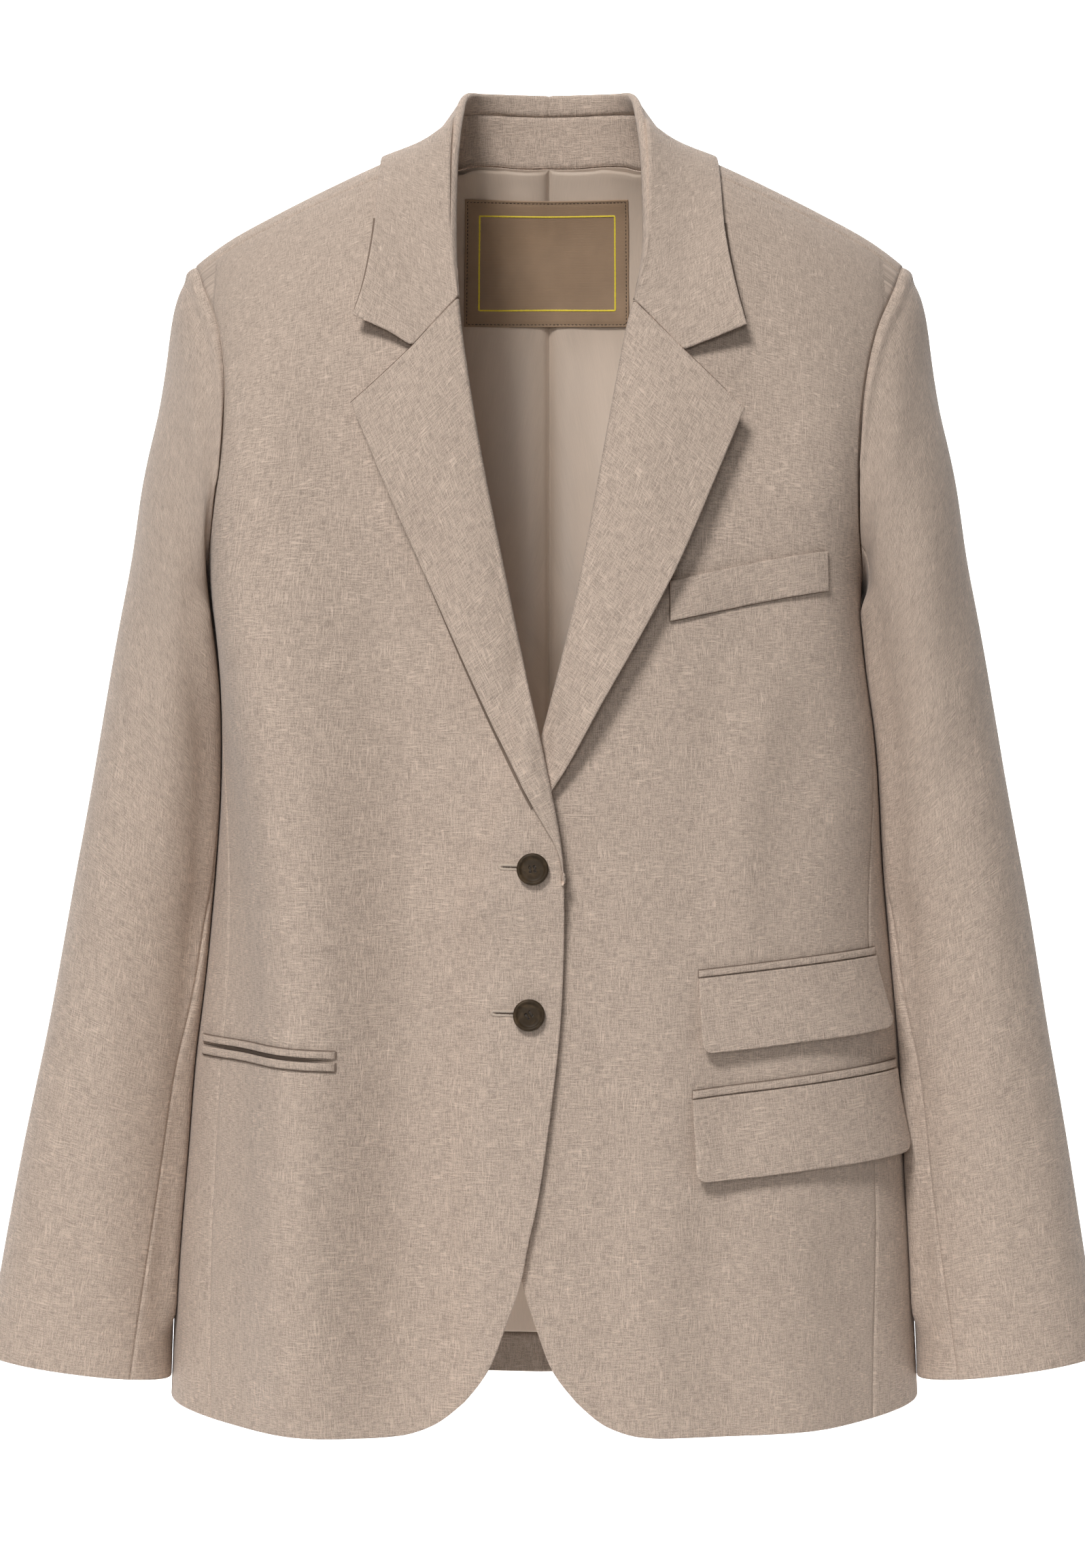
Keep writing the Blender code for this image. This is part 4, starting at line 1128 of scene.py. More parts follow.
laid(
    "neck_label",
    lambda s, t: onBackInside(labelCut(s, t), patchLabel["lift"]),
    patchLabel["step"],
    allTurned,
    ["label"],
    materials=[finishes["label"]],
    thickness=patchLabel["wall"],
    facing=towardsMiddle,
    sink=labelEdge,
)
print("lining and label laid")

lapelShape = {
    "innerShare": 0.12,
    "arcShare": 0.26,
    "step": 0.0030,
    "width": 0.075,
    "innerLift": 0.0041,
    "edgeLift": {"right": 0.0090, "left": 0.0130},
    "endDrop": 0.0013,
}


def lapelPatch(side):
    roll = along(through(lapelCut["roll"][side], 5))
    edge = along(through(lapelCut["edge"][side], 5))
    start = along([lapelCut["roll"][side][0], lapelCut["edge"][side][0]])
    top = along([lapelCut["roll"][side][-1], lapelCut["notch"][side], lapelCut["edge"][side][-1]])
    return patch(start, top, roll, edge)


def lapelPlace(side):
    cut = lapelPatch(side)
    right = side == "right"
    inner, arc = lapelShape["innerShare"], lapelShape["arcShare"]

    def place(s, t):
        t = np.minimum(t, 0.9975)
        width = np.linalg.norm(cut(0 * t + 1, t) - cut(0 * t, t), axis=-1)
        reach = np.minimum(lapelCut["rollRadius"] * (0.25 + 0.75 * ease(0, 0.10, t)), 0.3 * width)
        share = np.clip((s - arc) / (1 - arc), 0, 1)
        base = reach / width
        outerCut = cut(base + (1 - base) * share, t)
        fade = ease(0.0, 0.30, t) * (1 - ease(0.90, 1.0, t))
        bow = lapelCut["bow"] * np.sin(math.pi * np.minimum(1, share * 1.4)) * fade
        settled = 1 - ease(0.0, 0.10, t)
        lift = lapelCut["lift"] + bow + lapelShape["edgeLift"][side] * share * ease(0.04, 0.40, t)
        lift = lift - lapelShape["endDrop"] * settled
        outer = onFront(outerCut, lift, right)
        low = -lapelShape["innerLift"] + (lapelShape["innerLift"] + 0.0003) * settled
        high = lapelCut["lift"] - lapelShape["endDrop"] * settled
        middleCut = cut(base, t)
        middle = onFront(middleCut, (low + high) / 2, right)
        above = onFront(middleCut, high, right)
        ahead = onFront(cut(0 * t, t), (low + high) / 2, right) - middle
        ahead /= np.maximum(1e-9, np.linalg.norm(ahead, axis=-1, keepdims=True))
        turn = math.pi * (np.clip((s - inner) / (arc - inner), 0, 1) - 0.5)
        rolled = middle + ahead * (reach * np.cos(turn))[..., None]
        rolled = rolled + (above - middle) * np.sin(turn)[..., None]
        back = np.clip((inner - s) / inner, 0, 1)
        depth = lapelCut["turnedIn"] * (ease(0.12, 0.35, t) if right else 0.3 + 0.7 * ease(0, 0.2, t))
        inside = cut(np.minimum((reach + depth * back) / width, 0.85), t)
        tucked = onFront(inside, low, right)
        return np.where((s >= arc)[..., None], outer, np.where((s >= inner)[..., None], rolled, tucked))

    return place


def lapelFacing(points):
    # the part past the roll line faces forward
    share = np.linspace(0, 1, points.shape[1])[None, :, None]
    return np.where(share > 0.5, 1.0, 0.0) * np.broadcast_to((0.0, -1.0, 0.0), points.shape)


inner, arc = lapelShape["innerShare"], lapelShape["arcShare"]
outerLines = lines(lapelShape["step"], lapelShape["width"], "open", "turned")
outerLines = arc + (1 - arc) * outerLines
lapelLines = [np.linspace(0, inner, 5), np.linspace(inner, arc, 11), outerLines]
lapelLines = np.unique(np.concatenate(lapelLines).round(6))
for side, sign in sideNames:
    place = lapelPlace(side)
    laid(
        "lapel_facing_" + side,
        place,
        lapelShape["step"],
        allTurned,
        ["lapel_" + side],
        sLines=lapelLines,
        grain=grainDown(place, 1.0),
        facing=lapelFacing,
    )
print("lapels laid")

collarCut = {
    "fold": (
        (0.0000, 0.0660, 0.0549),
        (0.0240, 0.0620, 0.0549),
        (0.0420, 0.0500, 0.0535),
        (0.0526, 0.0280, 0.0496),
        (0.0563, -0.0050, 0.0323),
        (0.0580, -0.0400, 0.0056),
        (0.0582, -0.0660, -0.0268),
        (0.0574, -0.0860, -0.0611),
    ),
    "edge": (
        (0.0000, 0.0990, -0.0150),
        (0.0500, 0.0930, -0.0130),
        (0.0860, 0.0700, -0.0080),
        (0.1010, 0.0300, 0.0035),
        (0.1040, -0.0100, 0.0040),
        (0.1048, -0.0400, -0.0146),
        (0.1060, -0.0700, -0.0500),
        (0.1110, -0.0850, -0.0820),
    ),
    "point": {"right": (-0.1166, -0.1057), "left": (0.1166, -0.1112)},
    "end": {"right": (-0.0959, -0.1147), "left": (0.0984, -0.1188)},
    "foldRadius": 0.0030,
    "lift": 0.0042,
    "pointLift": 0.0090,
    "standTop": 0.70,
    "standStart": 0.0012,
    "standSeam": 0.0004,
    "standEnd": 0.556,
    "standDrop": 0.0020,
    "length": 0.46,
    "fallWidth": 0.075,
    "fallStep": 0.0036,
    "outStep": 0.0030,
    "standStep": 0.0032,
    "bow": 0.0035,
    "seamDepth": 0.0005,
    "seamWidth": 0.0019,
}


def mirrored(points, sign):
    return np.array(points) * (sign, 1, 1)


def onFrontOne(mark, lift):
    return onFront(np.array(mark, float)[None], lift)[0]


def neckFront(side):
    sign = -1 if side == "right" else 1
    neck = np.array(bodyCut["neckFront"])[::-1] * (sign, 1)
    marks = np.concatenate([[lapelCut["roll"][side][-1]], neck])
    return through(np.concatenate([girth(*marks.T), shoulderSeam(sign)[:1]]), 4)


def collarSide(side):
    sign = -1 if side == "right" else 1
    lift = collarCut["lift"]
    gorge = onFrontOne(lapelCut["roll"][side][-1], lift - 0.0010)
    notch = onFrontOne(lapelCut["notch"][side], lift + 0.0004)
    end = onFrontOne(collarCut["end"][side], lift + 0.0012)
    tip = onFrontOne(collarCut["point"][side], lift + 0.0020)
    fold = along(through(np.concatenate([mirrored(collarCut["fold"], sign), [gorge]]), 5))
    edge = along(through(np.concatenate([mirrored(collarCut["edge"], sign), [tip]]), 5))
    middleFold, middleEdge = np.array(collarCut["fold"][0]), np.array(collarCut["edge"][0])
    bow = middleFold + (middleEdge - middleFold) * 0.4 + (0, 0.006, 0.002)
    middle = along(through([middleFold, bow, middleEdge], 6))
    half = patch(fold, edge, middle, along([gorge, notch, end, tip]))
    rows = [offBody(*neckBack(sign).T, -0.0020), offBody(*neckFront(side)[:-1][::-1].T, -0.0020)]
    return fold, along(np.concatenate(rows)), half


def clearOfBody(point, lift):
    # moves what would lie in the body, or too near it, outwards
    x, y, z = np.moveaxis(point, -1, 0)
    behind = y > 0
    top = crestAt(x)
    depth = depthAt(x, np.minimum(z, top), behind)
    bend = np.where(behind, form["backBend"], form["frontBend"])
    rise = np.maximum(0, (z - form["armpit"]) / (top - form["armpit"]))
    reach = (rise**bend + (np.abs(y) / depth) ** bend) ** (1 / bend)
    radius = np.hypot(y, z - form["armpit"])
    grow = np.maximum(1, (radius / reach + lift * 1.06) / radius)
    return np.stack([x, y * grow, form["armpit"] + (z - form["armpit"]) * grow], -1)


def awayFromNeck(point):
    away = (point + (0, 0.010, 0)) * (1, 1, 0)
    return away / np.linalg.norm(away, axis=-1, keepdims=True)


collarSides = {side: collarSide(side) for side, _ in sideNames}


def halves(c, build):
    # joins what the right and the left half give at each place along the collar
    right, left = build("right", np.abs(c)), build("left", np.abs(c))
    return np.where((c < 0)[..., None], right, left)


def standLine(side, c):
    # the foot and the top of the stand
    fold, neck, _ = collarSides[side]
    high = fold(c)
    drop = collarCut["standDrop"] * ease(0.28, 0.46, c) * (1 - ease(0.60, 0.72, c))
    top = high - awayFromNeck(high) * collarCut["foldRadius"]
    top[..., 2] -= drop
    return neck(c), top


def standPlace(s, t):
    def build(side, c):
        low, high = standLine(side, c)
        length = np.linalg.norm(high - low, axis=-1, keepdims=True)
        start = collarCut["standStart"] / length
        return low + (high - low) * (start + (collarCut["standTop"] - start) * t[..., None])

    return halves((2 * s - 1) * collarCut["standEnd"], build)


collarRows = {"inside": 0.14, "fold": 0.26}


def fallPlace(s, t):
    def build(side, c):
        fold, _, half = collarSides[side]
        inside, bend = collarRows["inside"], collarRows["fold"]
        line = fold(c)
        out = awayFromNeck(line)
        radius = (collarCut["foldRadius"] * (1 - 0.8 * ease(0.87, 1.0, c)))[..., None]
        low, high = standLine(side, c)
        length = np.maximum(0.004, np.linalg.norm(high - low, axis=-1))
        upper = collarCut["standTop"] + collarCut["standSeam"] / length
        start = np.where(c < 0.57, upper, np.minimum(0.8, 0.0046 / length))[..., None]
        leg = np.clip(t / inside, 0, 1)[..., None]
        first = low + (high - low) * (start + (1 - start) * leg)
        first = first - (0, 0, 1) * radius * leg
        turn = (2 * np.clip((t - inside) / (bend - inside), 0, 1) - 1)[..., None]
        angle = turn * math.pi / 2
        second = line + out * radius * np.sin(angle) + (0, 0, 1) * radius * (np.cos(angle) - 1)
        share = np.clip((t - bend) / (1 - bend), 0, 1)
        bow = collarCut["bow"] * np.sin(math.pi * share) * (1 - ease(0.75, 1.0, c))
        third = half(c, share)
        third = third + out * (radius * (1 - share[..., None]) + bow[..., None])
        third[..., 2] -= radius[..., 0] * (1 - share) ** 6
        third = clearOfBody(third, collarCut["lift"])
        third[..., 1] -= collarCut["pointLift"] * share**2 * ease(0.60, 0.92, c)
        part = t[..., None]
        return np.where(part < inside, first, np.where(part < bend, second, third))

    return halves(2 * s - 1, build)


# close lines at the centre seam, and rows for the inner part, the fold and the outer part
middleLines = np.array([0.0004, 0.0010, 0.0017, 0.0026, 0.0038]) / collarCut["length"]
evenLines = lines(collarCut["fallStep"], collarCut["length"])
collarLines = [evenLines, 0.5 + middleLines, 0.5 - middleLines, [0.5]]
insideLines = np.linspace(0, collarRows["inside"], 5)
foldLines = np.linspace(collarRows["inside"], collarRows["fold"], 9)
outLines = lines(collarCut["outStep"], collarCut["fallWidth"], "open", "turned")
outLines = collarRows["fold"] + (1 - collarRows["fold"]) * outLines
laid(
    "collar_fall_cloth",
    fallPlace,
    collarCut["fallStep"],
    ("turned", "turned", "seam", "turned"),
    ["collar_fall"],
    sLines=np.unique(np.concatenate(collarLines).round(6)),
    tLines=np.unique(np.concatenate([insideLines, foldLines, outLines]).round(6)),
    facing=lambda points: points + (0, 0, 0.1),
    sink=seamDip(collarCut, 0.5),
)
laid(
    "collar_stand_cloth",
    standPlace,
    collarCut["standStep"],
    ("turned", "turned", "seam", "seam"),
    ["collar_stand"],
    facing=lambda points: -points,
)
print("collar laid")

sleeveCut = {
    # share of the length, outer x and z, inner x and z, middle, half depth
    "rings": (
        (0.00, 0.2225, -0.0660, 0.1935, -0.2640, 0.000, 0.072),
        (0.06, 0.2330, -0.0860, 0.1957, -0.2720, 0.000, 0.075),
        (0.14, 0.2405, -0.1270, 0.1968, -0.2880, 0.001, 0.077),
        (0.22, 0.2480, -0.1690, 0.1985, -0.3080, 0.002, 0.077),
        (0.32, 0.2575, -0.2280, 0.1995, -0.3400, 0.002, 0.074),
        (0.44, 0.2700, -0.3060, 0.2039, -0.3900, 0.001, 0.069),
        (0.56, 0.2850, -0.3900, 0.2096, -0.4500, -0.002, 0.063),
        (0.68, 0.3000, -0.4780, 0.2163, -0.5200, -0.007, 0.058),
        (0.84, 0.3210, -0.6010, 0.2249, -0.6280, -0.014, 0.052),
        (1.00, 0.3440, -0.7345, 0.2346, -0.7500, -0.022, 0.047),
    ),
    "frontSeam": ((0.0, 2.45), (0.5, 2.65), (0.8, 2.50), (1.0, 2.26)),
    "backSeam": ((0.0, 4.10), (0.5, 3.95), (1.0, 3.90)),
    "blend": 0.30,
    "seamGap": 0.0004,
    "clear": 0.0003,
    "nestle": 0.0110,
    "step": 0.0042,
    "headRoll": 0.0022,
    "headAt": 0.016,
    "headWidth": 0.012,
    "cuffFree": (-0.728, -0.706),
    "ripple": 0.0006,
    # share of the length, angle, half width along and round, height, slant
    "folds": (
        (0.10, 1.20, 0.050, 0.42, 0.0020, 0.5),
        (0.17, 0.30, 0.080, 0.40, -0.0016, -0.3),
        (0.27, 1.75, 0.060, 0.50, 0.0018, 0.7),
        (0.36, 0.80, 0.050, 0.60, -0.0017, 0.8),
        (0.44, 2.10, 0.040, 0.50, 0.0022, 0.5),
        (0.50, 1.40, 0.034, 0.60, -0.0020, 0.7),
        (0.55, 2.20, 0.034, 0.50, 0.0020, 0.6),
        (0.63, 1.10, 0.060, 0.50, 0.0018, -0.4),
        (0.74, 1.90, 0.060, 0.40, -0.0015, 0.3),
        (0.86, 0.90, 0.070, 0.45, 0.0016, 0.2),
        (0.20, 4.60, 0.070, 0.50, 0.0020, 0.6),
        (0.38, 5.10, 0.050, 0.60, -0.0020, 0.7),
        (0.49, 4.70, 0.034, 0.60, 0.0024, -0.7),
        (0.55, 5.00, 0.030, 0.60, -0.0020, -0.6),
        (0.70, 5.30, 0.070, 0.50, 0.0018, 0.4),
        (0.88, 4.80, 0.060, 0.50, -0.0014, 0.3),
    ),
}
sleeveRings = np.array(sleeveCut["rings"])


def armholeLoop(sign):
    # angle 0 on the shoulder, then forward, under and behind
    front = along(offBody(*armholeRow(sign, False).T))
    back = along(offBody(*armholeRow(sign, True).T))

    def at(angle):
        angle = np.mod(angle, 2 * math.pi)
        forward = angle <= math.pi
        return np.where(forward[..., None], front(angle / math.pi), back(2 - angle / math.pi))

    return at


def sleeveFolds(at, angle):
    field = 0 * angle
    for place, turn, length, wide, height, slant in sleeveCut["folds"]:
        away = np.mod(angle - turn - slant * (at - place) * 6 + math.pi, 2 * math.pi) - math.pi
        field = field + height * np.exp(-(((at - place) / length) ** 2) - (away / wide) ** 2)
    ripple = sleeveCut["ripple"] * np.sin(23 * at + 2 * np.sin(angle * 2))
    ripple = ripple * np.sin(3 * angle + 9 * at)
    return (field + ripple) * ease(0.02, 0.10, at)


def bodySide(point):
    # half width of the body, with its folds, level with a point
    y, z = point[..., 1], point[..., 2]
    ring = ringAt(z)
    depth = np.where(y > 0, ring[..., 2], ring[..., 1])
    square = ring[..., 3]
    share = np.minimum(0.999, np.abs(y) / depth)
    wide = ring[..., 0] * (1 - share**square) ** (1 / square)
    x = np.sign(point[..., 0]) * wide
    return wide + drape(np.stack([x, y, z], -1), 0 * z)


def sleevePlace(sign):
    loop = armholeLoop(sign)

    def oval(at, angle):
        outerX, outerZ, innerX, innerZ, middle, half = np.moveaxis(curve(sleeveRings, at), -1, 0)
        reach = (1 + np.cos(angle)) / 2
        bulge = np.sin(angle)
        x = innerX + (outerX - innerX) * reach
        z = innerZ + (outerZ - innerZ) * reach
        return np.stack([sign * x, middle - half * np.sign(bulge) * np.abs(bulge) ** 0.94, z], -1)

    def folded(at, angle):
        share = (1 - ease(0.0, sleeveCut["blend"], at))[..., None]
        point = oval(at, angle) + (loop(angle) - oval(0 * at, angle)) * share
        step = 0.004
        around = oval(at, angle + step) - oval(at, angle - step)
        down = oval(np.minimum(1, at + step), angle) - oval(np.maximum(0, at - step), angle)
        normal = np.cross(around, down) * sign
        normal /= np.maximum(1e-12, np.linalg.norm(normal, axis=-1, keepdims=True))
        middle = oval(at, 0 * angle + math.pi / 2) * 0.5 + oval(at, 0 * angle - math.pi / 2) * 0.5
        normal *= np.where(((point - middle) * normal).sum(-1, keepdims=True) < 0, -1, 1)
        head = ((at - sleeveCut["headAt"]) / sleeveCut["headWidth"]) ** 2
        head = sleeveCut["headRoll"] * np.exp(-head)
        head = head * (0.35 + 0.65 * (np.cos(angle) > -0.3))
        return point + normal * (sleeveFolds(at, angle) + head)[..., None]

    levels = np.linspace(0, 1, 81)
    atGrid, angleGrid = np.meshgrid(levels, np.linspace(2.2, 4.1, 40), indexing="ij")
    ring = folded(atGrid, angleGrid)
    under = ring[..., 2] < form["armpit"] - 0.004
    gap = np.where(under, np.abs(ring[..., 0]) - bodySide(ring), 1.0).min(axis=1)
    gap = np.where(gap > 0.5, 0.0, gap - sleeveCut["clear"]) * ease(0.06, 0.20, levels)

    def place(at, angle):
        point = folded(at, angle)
        near = np.clip((1 - np.cos(angle)) / 2, 0, 1) ** 1.5
        point[..., 0] -= sign * np.interp(at, levels, gap) * near
        # the cloth nestles against the body where the two come close
        free = np.abs(point[..., 0]) - bodySide(point) - sleeveCut["clear"]
        low = ease(form["armpit"], form["armpit"] - 0.02, point[..., 2])
        low = low * ease(*sleeveCut["cuffFree"], point[..., 2]) * (np.cos(angle) < 0)
        nestle = np.maximum(0, free) * np.exp(-((free / sleeveCut["nestle"]) ** 4)) * low
        point[..., 0] -= sign * nestle
        return point

    return place


def sleevePanel(sign, under):
    place = sleevePlace(sign)

    def panel(s, t):
        front = curve(sleeveCut["frontSeam"], t)[..., 0]
        back = curve(sleeveCut["backSeam"], t)[..., 0]
        gap = sleeveCut["seamGap"]
        low, high = (front + gap, back - gap) if under else (back - 2 * math.pi + gap, front - gap)
        return place(t, low + (high - low) * s)

    return panel


def sleeveFacing(sign):
    def facing(points):
        rows = sleeveRings
        middleX = (rows[:, 1] + rows[:, 3]) / 2
        x = np.interp(-points[..., 2], -rows[:, 2], middleX)
        y = np.interp(-points[..., 2], -rows[:, 2], rows[:, 5])
        return np.stack([points[..., 0] - sign * x, points[..., 1] - y, 0 * x], -1)

    return facing


for side, sign in sideNames:
    for kind, under in (("top", False), ("under", True)):
        laid(
            kind + "_sleeve_cloth_" + side,
            sleevePanel(sign, under),
            sleeveCut["step"],
            ("seam", "seam", "seam", "turned"),
            [kind + "_sleeve_" + side],
            materials=lined,
            facing=sleeveFacing(sign),
        )


# depth under the cloth, and how far it reaches outside and inside the seam
armholeTape = {"depth": 0.0022, "wall": 0.0008, "outside": 0.0030, "inside": 0.0062, "step": 0.004}


def tapePlace(sign):
    # a narrow tape that covers the armhole seam from inside
    rows = []
    for behind in (False, True):
        row = armholeRow(sign, behind)
        low = offBody(*row.T, -armholeTape["depth"])
        rows.append(np.concatenate([low, offBody(*row.T) - low], 1))
    ring = along(np.concatenate([rows[0], rows[1][::-1][1:]]))

    def place(s, t):
        both = ring(0.001 + 0.998 * s)
        point, out = both[..., :3], both[..., 3:]
        inward = np.cross(out, np.gradient(point, axis=1))
        inward /= np.maximum(1e-12, np.linalg.norm(inward, axis=-1, keepdims=True))
        inward = inward if inward[..., 0].mean() * sign < 0 else -inward
        width = armholeTape["inside"] + armholeTape["outside"]
        return point + inward * (t * width - armholeTape["outside"])[..., None]

    return place


for side, sign in sideNames:
    laid(
        "armhole_tape_" + side,
        tapePlace(sign),
        armholeTape["step"],
        allTurned,
        [],
        materials=[finishes["lining"]],
        thickness=armholeTape["wall"],
        facing=towardsMiddle,
        sLines=np.linspace(0, 1, 150),
        tLines=np.linspace(0, 1, 4),
    )
print("sleeves laid")

pocketCut = {
    "chest_welt": ((0.0712, -0.2642), (0.1624, -0.2440), (0.1625, -0.2686), (0.0712, -0.2884)),
    "ticket_jet": ((0.0883, -0.4952), (0.1975, -0.4836), (0.1975, -0.4886), (0.0883, -0.4997)),
    "ticket_flap": ((0.0883, -0.5001), (0.1979, -0.4890), (0.2040, -0.5328), (0.0902, -0.5446)),
    "hip_jet": ((0.0859, -0.5665), (0.2125, -0.5527), (0.2125, -0.5583), (0.0860, -0.5716)),
    "hip_flap": ((0.0860, -0.5720), (0.2130, -0.5587), (0.2175, -0.6090), (0.0885, -0.6209)),
    "pocket_jet_upper": (
        (-0.2098, -0.5375),
        (-0.1184, -0.5427),
        (-0.1184, -0.5475),
        (-0.2098, -0.5422),
    ),
    "pocket_jet_lower": (
        (-0.2098, -0.5440),
        (-0.1184, -0.5493),
        (-0.1184, -0.5547),
        (-0.2098, -0.5497),
    ),
    "jetPuff": 0.0011,
    "jetLift": 0.0014,
    "jetStep": 0.0030,
    "jetWall": 0.0010,
    "flapStep": 0.0022,
    "flapHigh": 0.048,
    "flapLift": 0.0024,
    "flapHang": 0.0062,
    "weltLift": 0.0026,
    "flapPuff": 0.0008,
    "flapBend": 0.0006,
    "cornerRadius": 0.0065,
    "step": 0.0026,
}


def jetPlace(name):
    cut = quadXz(pocketCut[name])

    def place(s, t):
        puff = pocketCut["jetPuff"] * np.sqrt(np.maximum(0, 1 - (2 * t - 1) ** 2))
        end = 1 - 0.8 * np.maximum(ease(0.02, 0.0, s), ease(0.98, 1.0, s))
        return onFront(cut(s, t), pocketCut["jetLift"] + puff * end)

    return place


def flapPlace(name, lift, hang, radius):
    cut = quadXz(pocketCut[name])
    corners = np.array(pocketCut[name])
    wide, high = np.linalg.norm(corners[1] - corners[0]), np.linalg.norm(corners[1] - corners[2])

    def place(s, t):
        # the two lower corners are drawn in to a round
        below = np.maximum(0, radius - t * high)
        inset = radius - np.sqrt(np.maximum(0, radius**2 - below**2))
        pull = inset / wide * (1 - 2 * s)
        puff = pocketCut["flapPuff"] * np.sin(math.pi * s) * np.sin(math.pi * t)
        bend = pocketCut["flapBend"] * np.sin(8 * s + 1) * (1 - t)
        return onFront(cut(s + pull, t), lift + hang * (1 - t) ** 1.4 + puff + bend)

    return place


for name in ("ticket_jet", "hip_jet", "pocket_jet_upper", "pocket_jet_lower"):
    laid(
        name + "_cloth",
        jetPlace(name),
        pocketCut["jetStep"],
        allTurned,
        [name],
        thickness=pocketCut["jetWall"],
        tLines=np.linspace(0, 1, 11),
    )
for name in ("ticket_flap", "hip_flap"):
    place = flapPlace(name, pocketCut["flapLift"], pocketCut["flapHang"], pocketCut["cornerRadius"])
    tLines = 1 - lines(pocketCut["flapStep"], pocketCut["flapHigh"], "turned", "turned")[::-1]
    laid(name + "_cloth", place, pocketCut["step"], allTurned, [name], tLines=tLines)
place = flapPlace("chest_welt", pocketCut["weltLift"], 0.0, 0.0)
laid("chest_welt_cloth", place, pocketCut["step"], allTurned, ["chest_welt"])
print("pockets laid")

stitchInputs = (
    ("Pitch", "NodeSocketFloat"),
    ("Length", "NodeSocketFloat"),
    ("Width", "NodeSocketFloat"),
    ("Height", "NodeSocketFloat"),
    ("Turn", "NodeSocketFloat"),
    ("Uneven", "NodeSocketFloat"),
    ("Seed", "NodeSocketInt"),
    ("Thread", "NodeSocketMaterial"),
)


def stitchGroup():
    # small rounded stitches set along a line, each turned from the line by an angle
    group = bpy.data.node_groups.new("stitch_row", "GeometryNodeTree")
    group.interface.new_socket("Geometry", in_out="INPUT", socket_type="NodeSocketGeometry")
    for label, kind in stitchInputs:
        group.interface.new_socket(label, in_out="INPUT", socket_type=kind)
    group.interface.new_socket("Geometry", in_out="OUTPUT", socket_type="NodeSocketGeometry")

    def add(kind, links=None, **settings):
        node = group.nodes.new(kind)
        for key, value in settings.items():
            setattr(node, key, value)
        for key, value in (links or {}).items():
            if hasattr(value, "is_output"):
                group.links.new(value, node.inputs[key])
            else:
                node.inputs[key].default_value = value
        return node

    def vector(operation, *values):
        return add("ShaderNodeVectorMath", dict(enumerate(values)), operation=operation).outputs[0]

    def scaled(value, factor):
        return add("ShaderNodeVectorMath", {0: value, 3: factor}, operation="SCALE").outputs[0]

    def number(operation, *values):
        return add("ShaderNodeMath", dict(enumerate(values)), operation=operation).outputs[0]

    start = add("NodeGroupInput").outputs
    line = add("GeometryNodeMeshToCurve", {"Mesh": start["Geometry"]}).outputs[0]
    line = add("GeometryNodeResampleCurve", {"Curve": line, "Length": start["Pitch"]}, mode="LENGTH")
    line = line.outputs[0]
    tangent = add("GeometryNodeInputTangent").outputs[0]
    across = vector("CROSS_PRODUCT", tangent, (0.0, -1.0, 0.0))
    ahead = scaled(tangent, number("COSINE", start["Turn"]))
    aside = scaled(across, number("SINE", start["Turn"]))
    lean = add("FunctionNodeRandomValue", {"Seed": start["Seed"]}, data_type="FLOAT_VECTOR")
    lean = vector("MULTIPLY_ADD", lean.outputs[0], (0.36, 0.16, 0.36), (-0.18, -0.08, -0.18))
    way = vector("ADD", vector("ADD", ahead, aside), lean)
    turned = add("FunctionNodeAlignRotationToVector", {"Vector": way}, axis="Z").outputs[0]
    turned = add(
        "FunctionNodeAlignRotationToVector",
        {"Rotation": turned, "Vector": (0.0, -1.0, 0.0)},
        axis="Y",
        pivot_axis="Z",
    ).outputs[0]
    half = [number("MULTIPLY", start[label], 0.5) for label in ("Width", "Height", "Length")]
    size = add("ShaderNodeCombineXYZ", {0: half[0], 1: half[1], 2: half[2]}).outputs[0]
    seed = number("ADD", start["Seed"], 7.0)
    vary = add("FunctionNodeRandomValue", {"Seed": seed}, data_type="FLOAT")
    vary = number("MULTIPLY_ADD", number("SUBTRACT", vary.outputs[1], 0.5), start["Uneven"], 1.0)
    size = scaled(size, vary)
    ball = add("GeometryNodeMeshUVSphere", {"Segments": 8, "Rings": 6, "Radius": 1.0}).outputs[0]
    ball = add("GeometryNodeSetShadeSmooth", {0: ball}).outputs[0]
    placing = {"Points": line, "Instance": ball, "Rotation": turned, "Scale": size}
    row = add("GeometryNodeInstanceOnPoints", placing).outputs[0]
    whole = add("GeometryNodeRealizeInstances", {"Geometry": row}).outputs[0]
    coloured = add("GeometryNodeSetMaterial", {"Geometry": whole, "Material": start["Thread"]})
    add("NodeGroupOutput", {0: coloured.outputs[0]})
    return group


stitches = stitchGroup()


def plainMesh(piece):
    # what the piece's modifiers make, as a mesh of its own, with the modifiers taken off
    seen = piece.evaluated_get(bpy.context.evaluated_depsgraph_get())
    made = bpy.data.meshes.new_from_object(seen)
    piece.modifiers.clear()
    return made


def stitchRow(name, rows, **values):
    # rows are lists of points on the cloth, with a mark that says whether they close
    points, edges = [], []
    for row, closed in rows:
        first, count = len(points), len(row)
        points += [tuple(map(float, point)) for point in row]
        edges += [(first + i, first + i + 1) for i in range(count - 1)]
        edges += [(first + count - 1, first)] if closed else []
    mesh = bpy.data.meshes.new(name)
    mesh.from_pydata(points, edges, [])
    piece = linked(name, mesh)
    modifier = piece.modifiers.new("stitches", "NODES")
    modifier.node_group = stitches
    for item in stitches.interface.items_tree:
        if item.in_out == "INPUT" and item.name in values:
            modifier[item.identifier] = values[item.name]
    piece.data = plainMesh(piece)
    piece.data.name = name
    settle(piece, [])


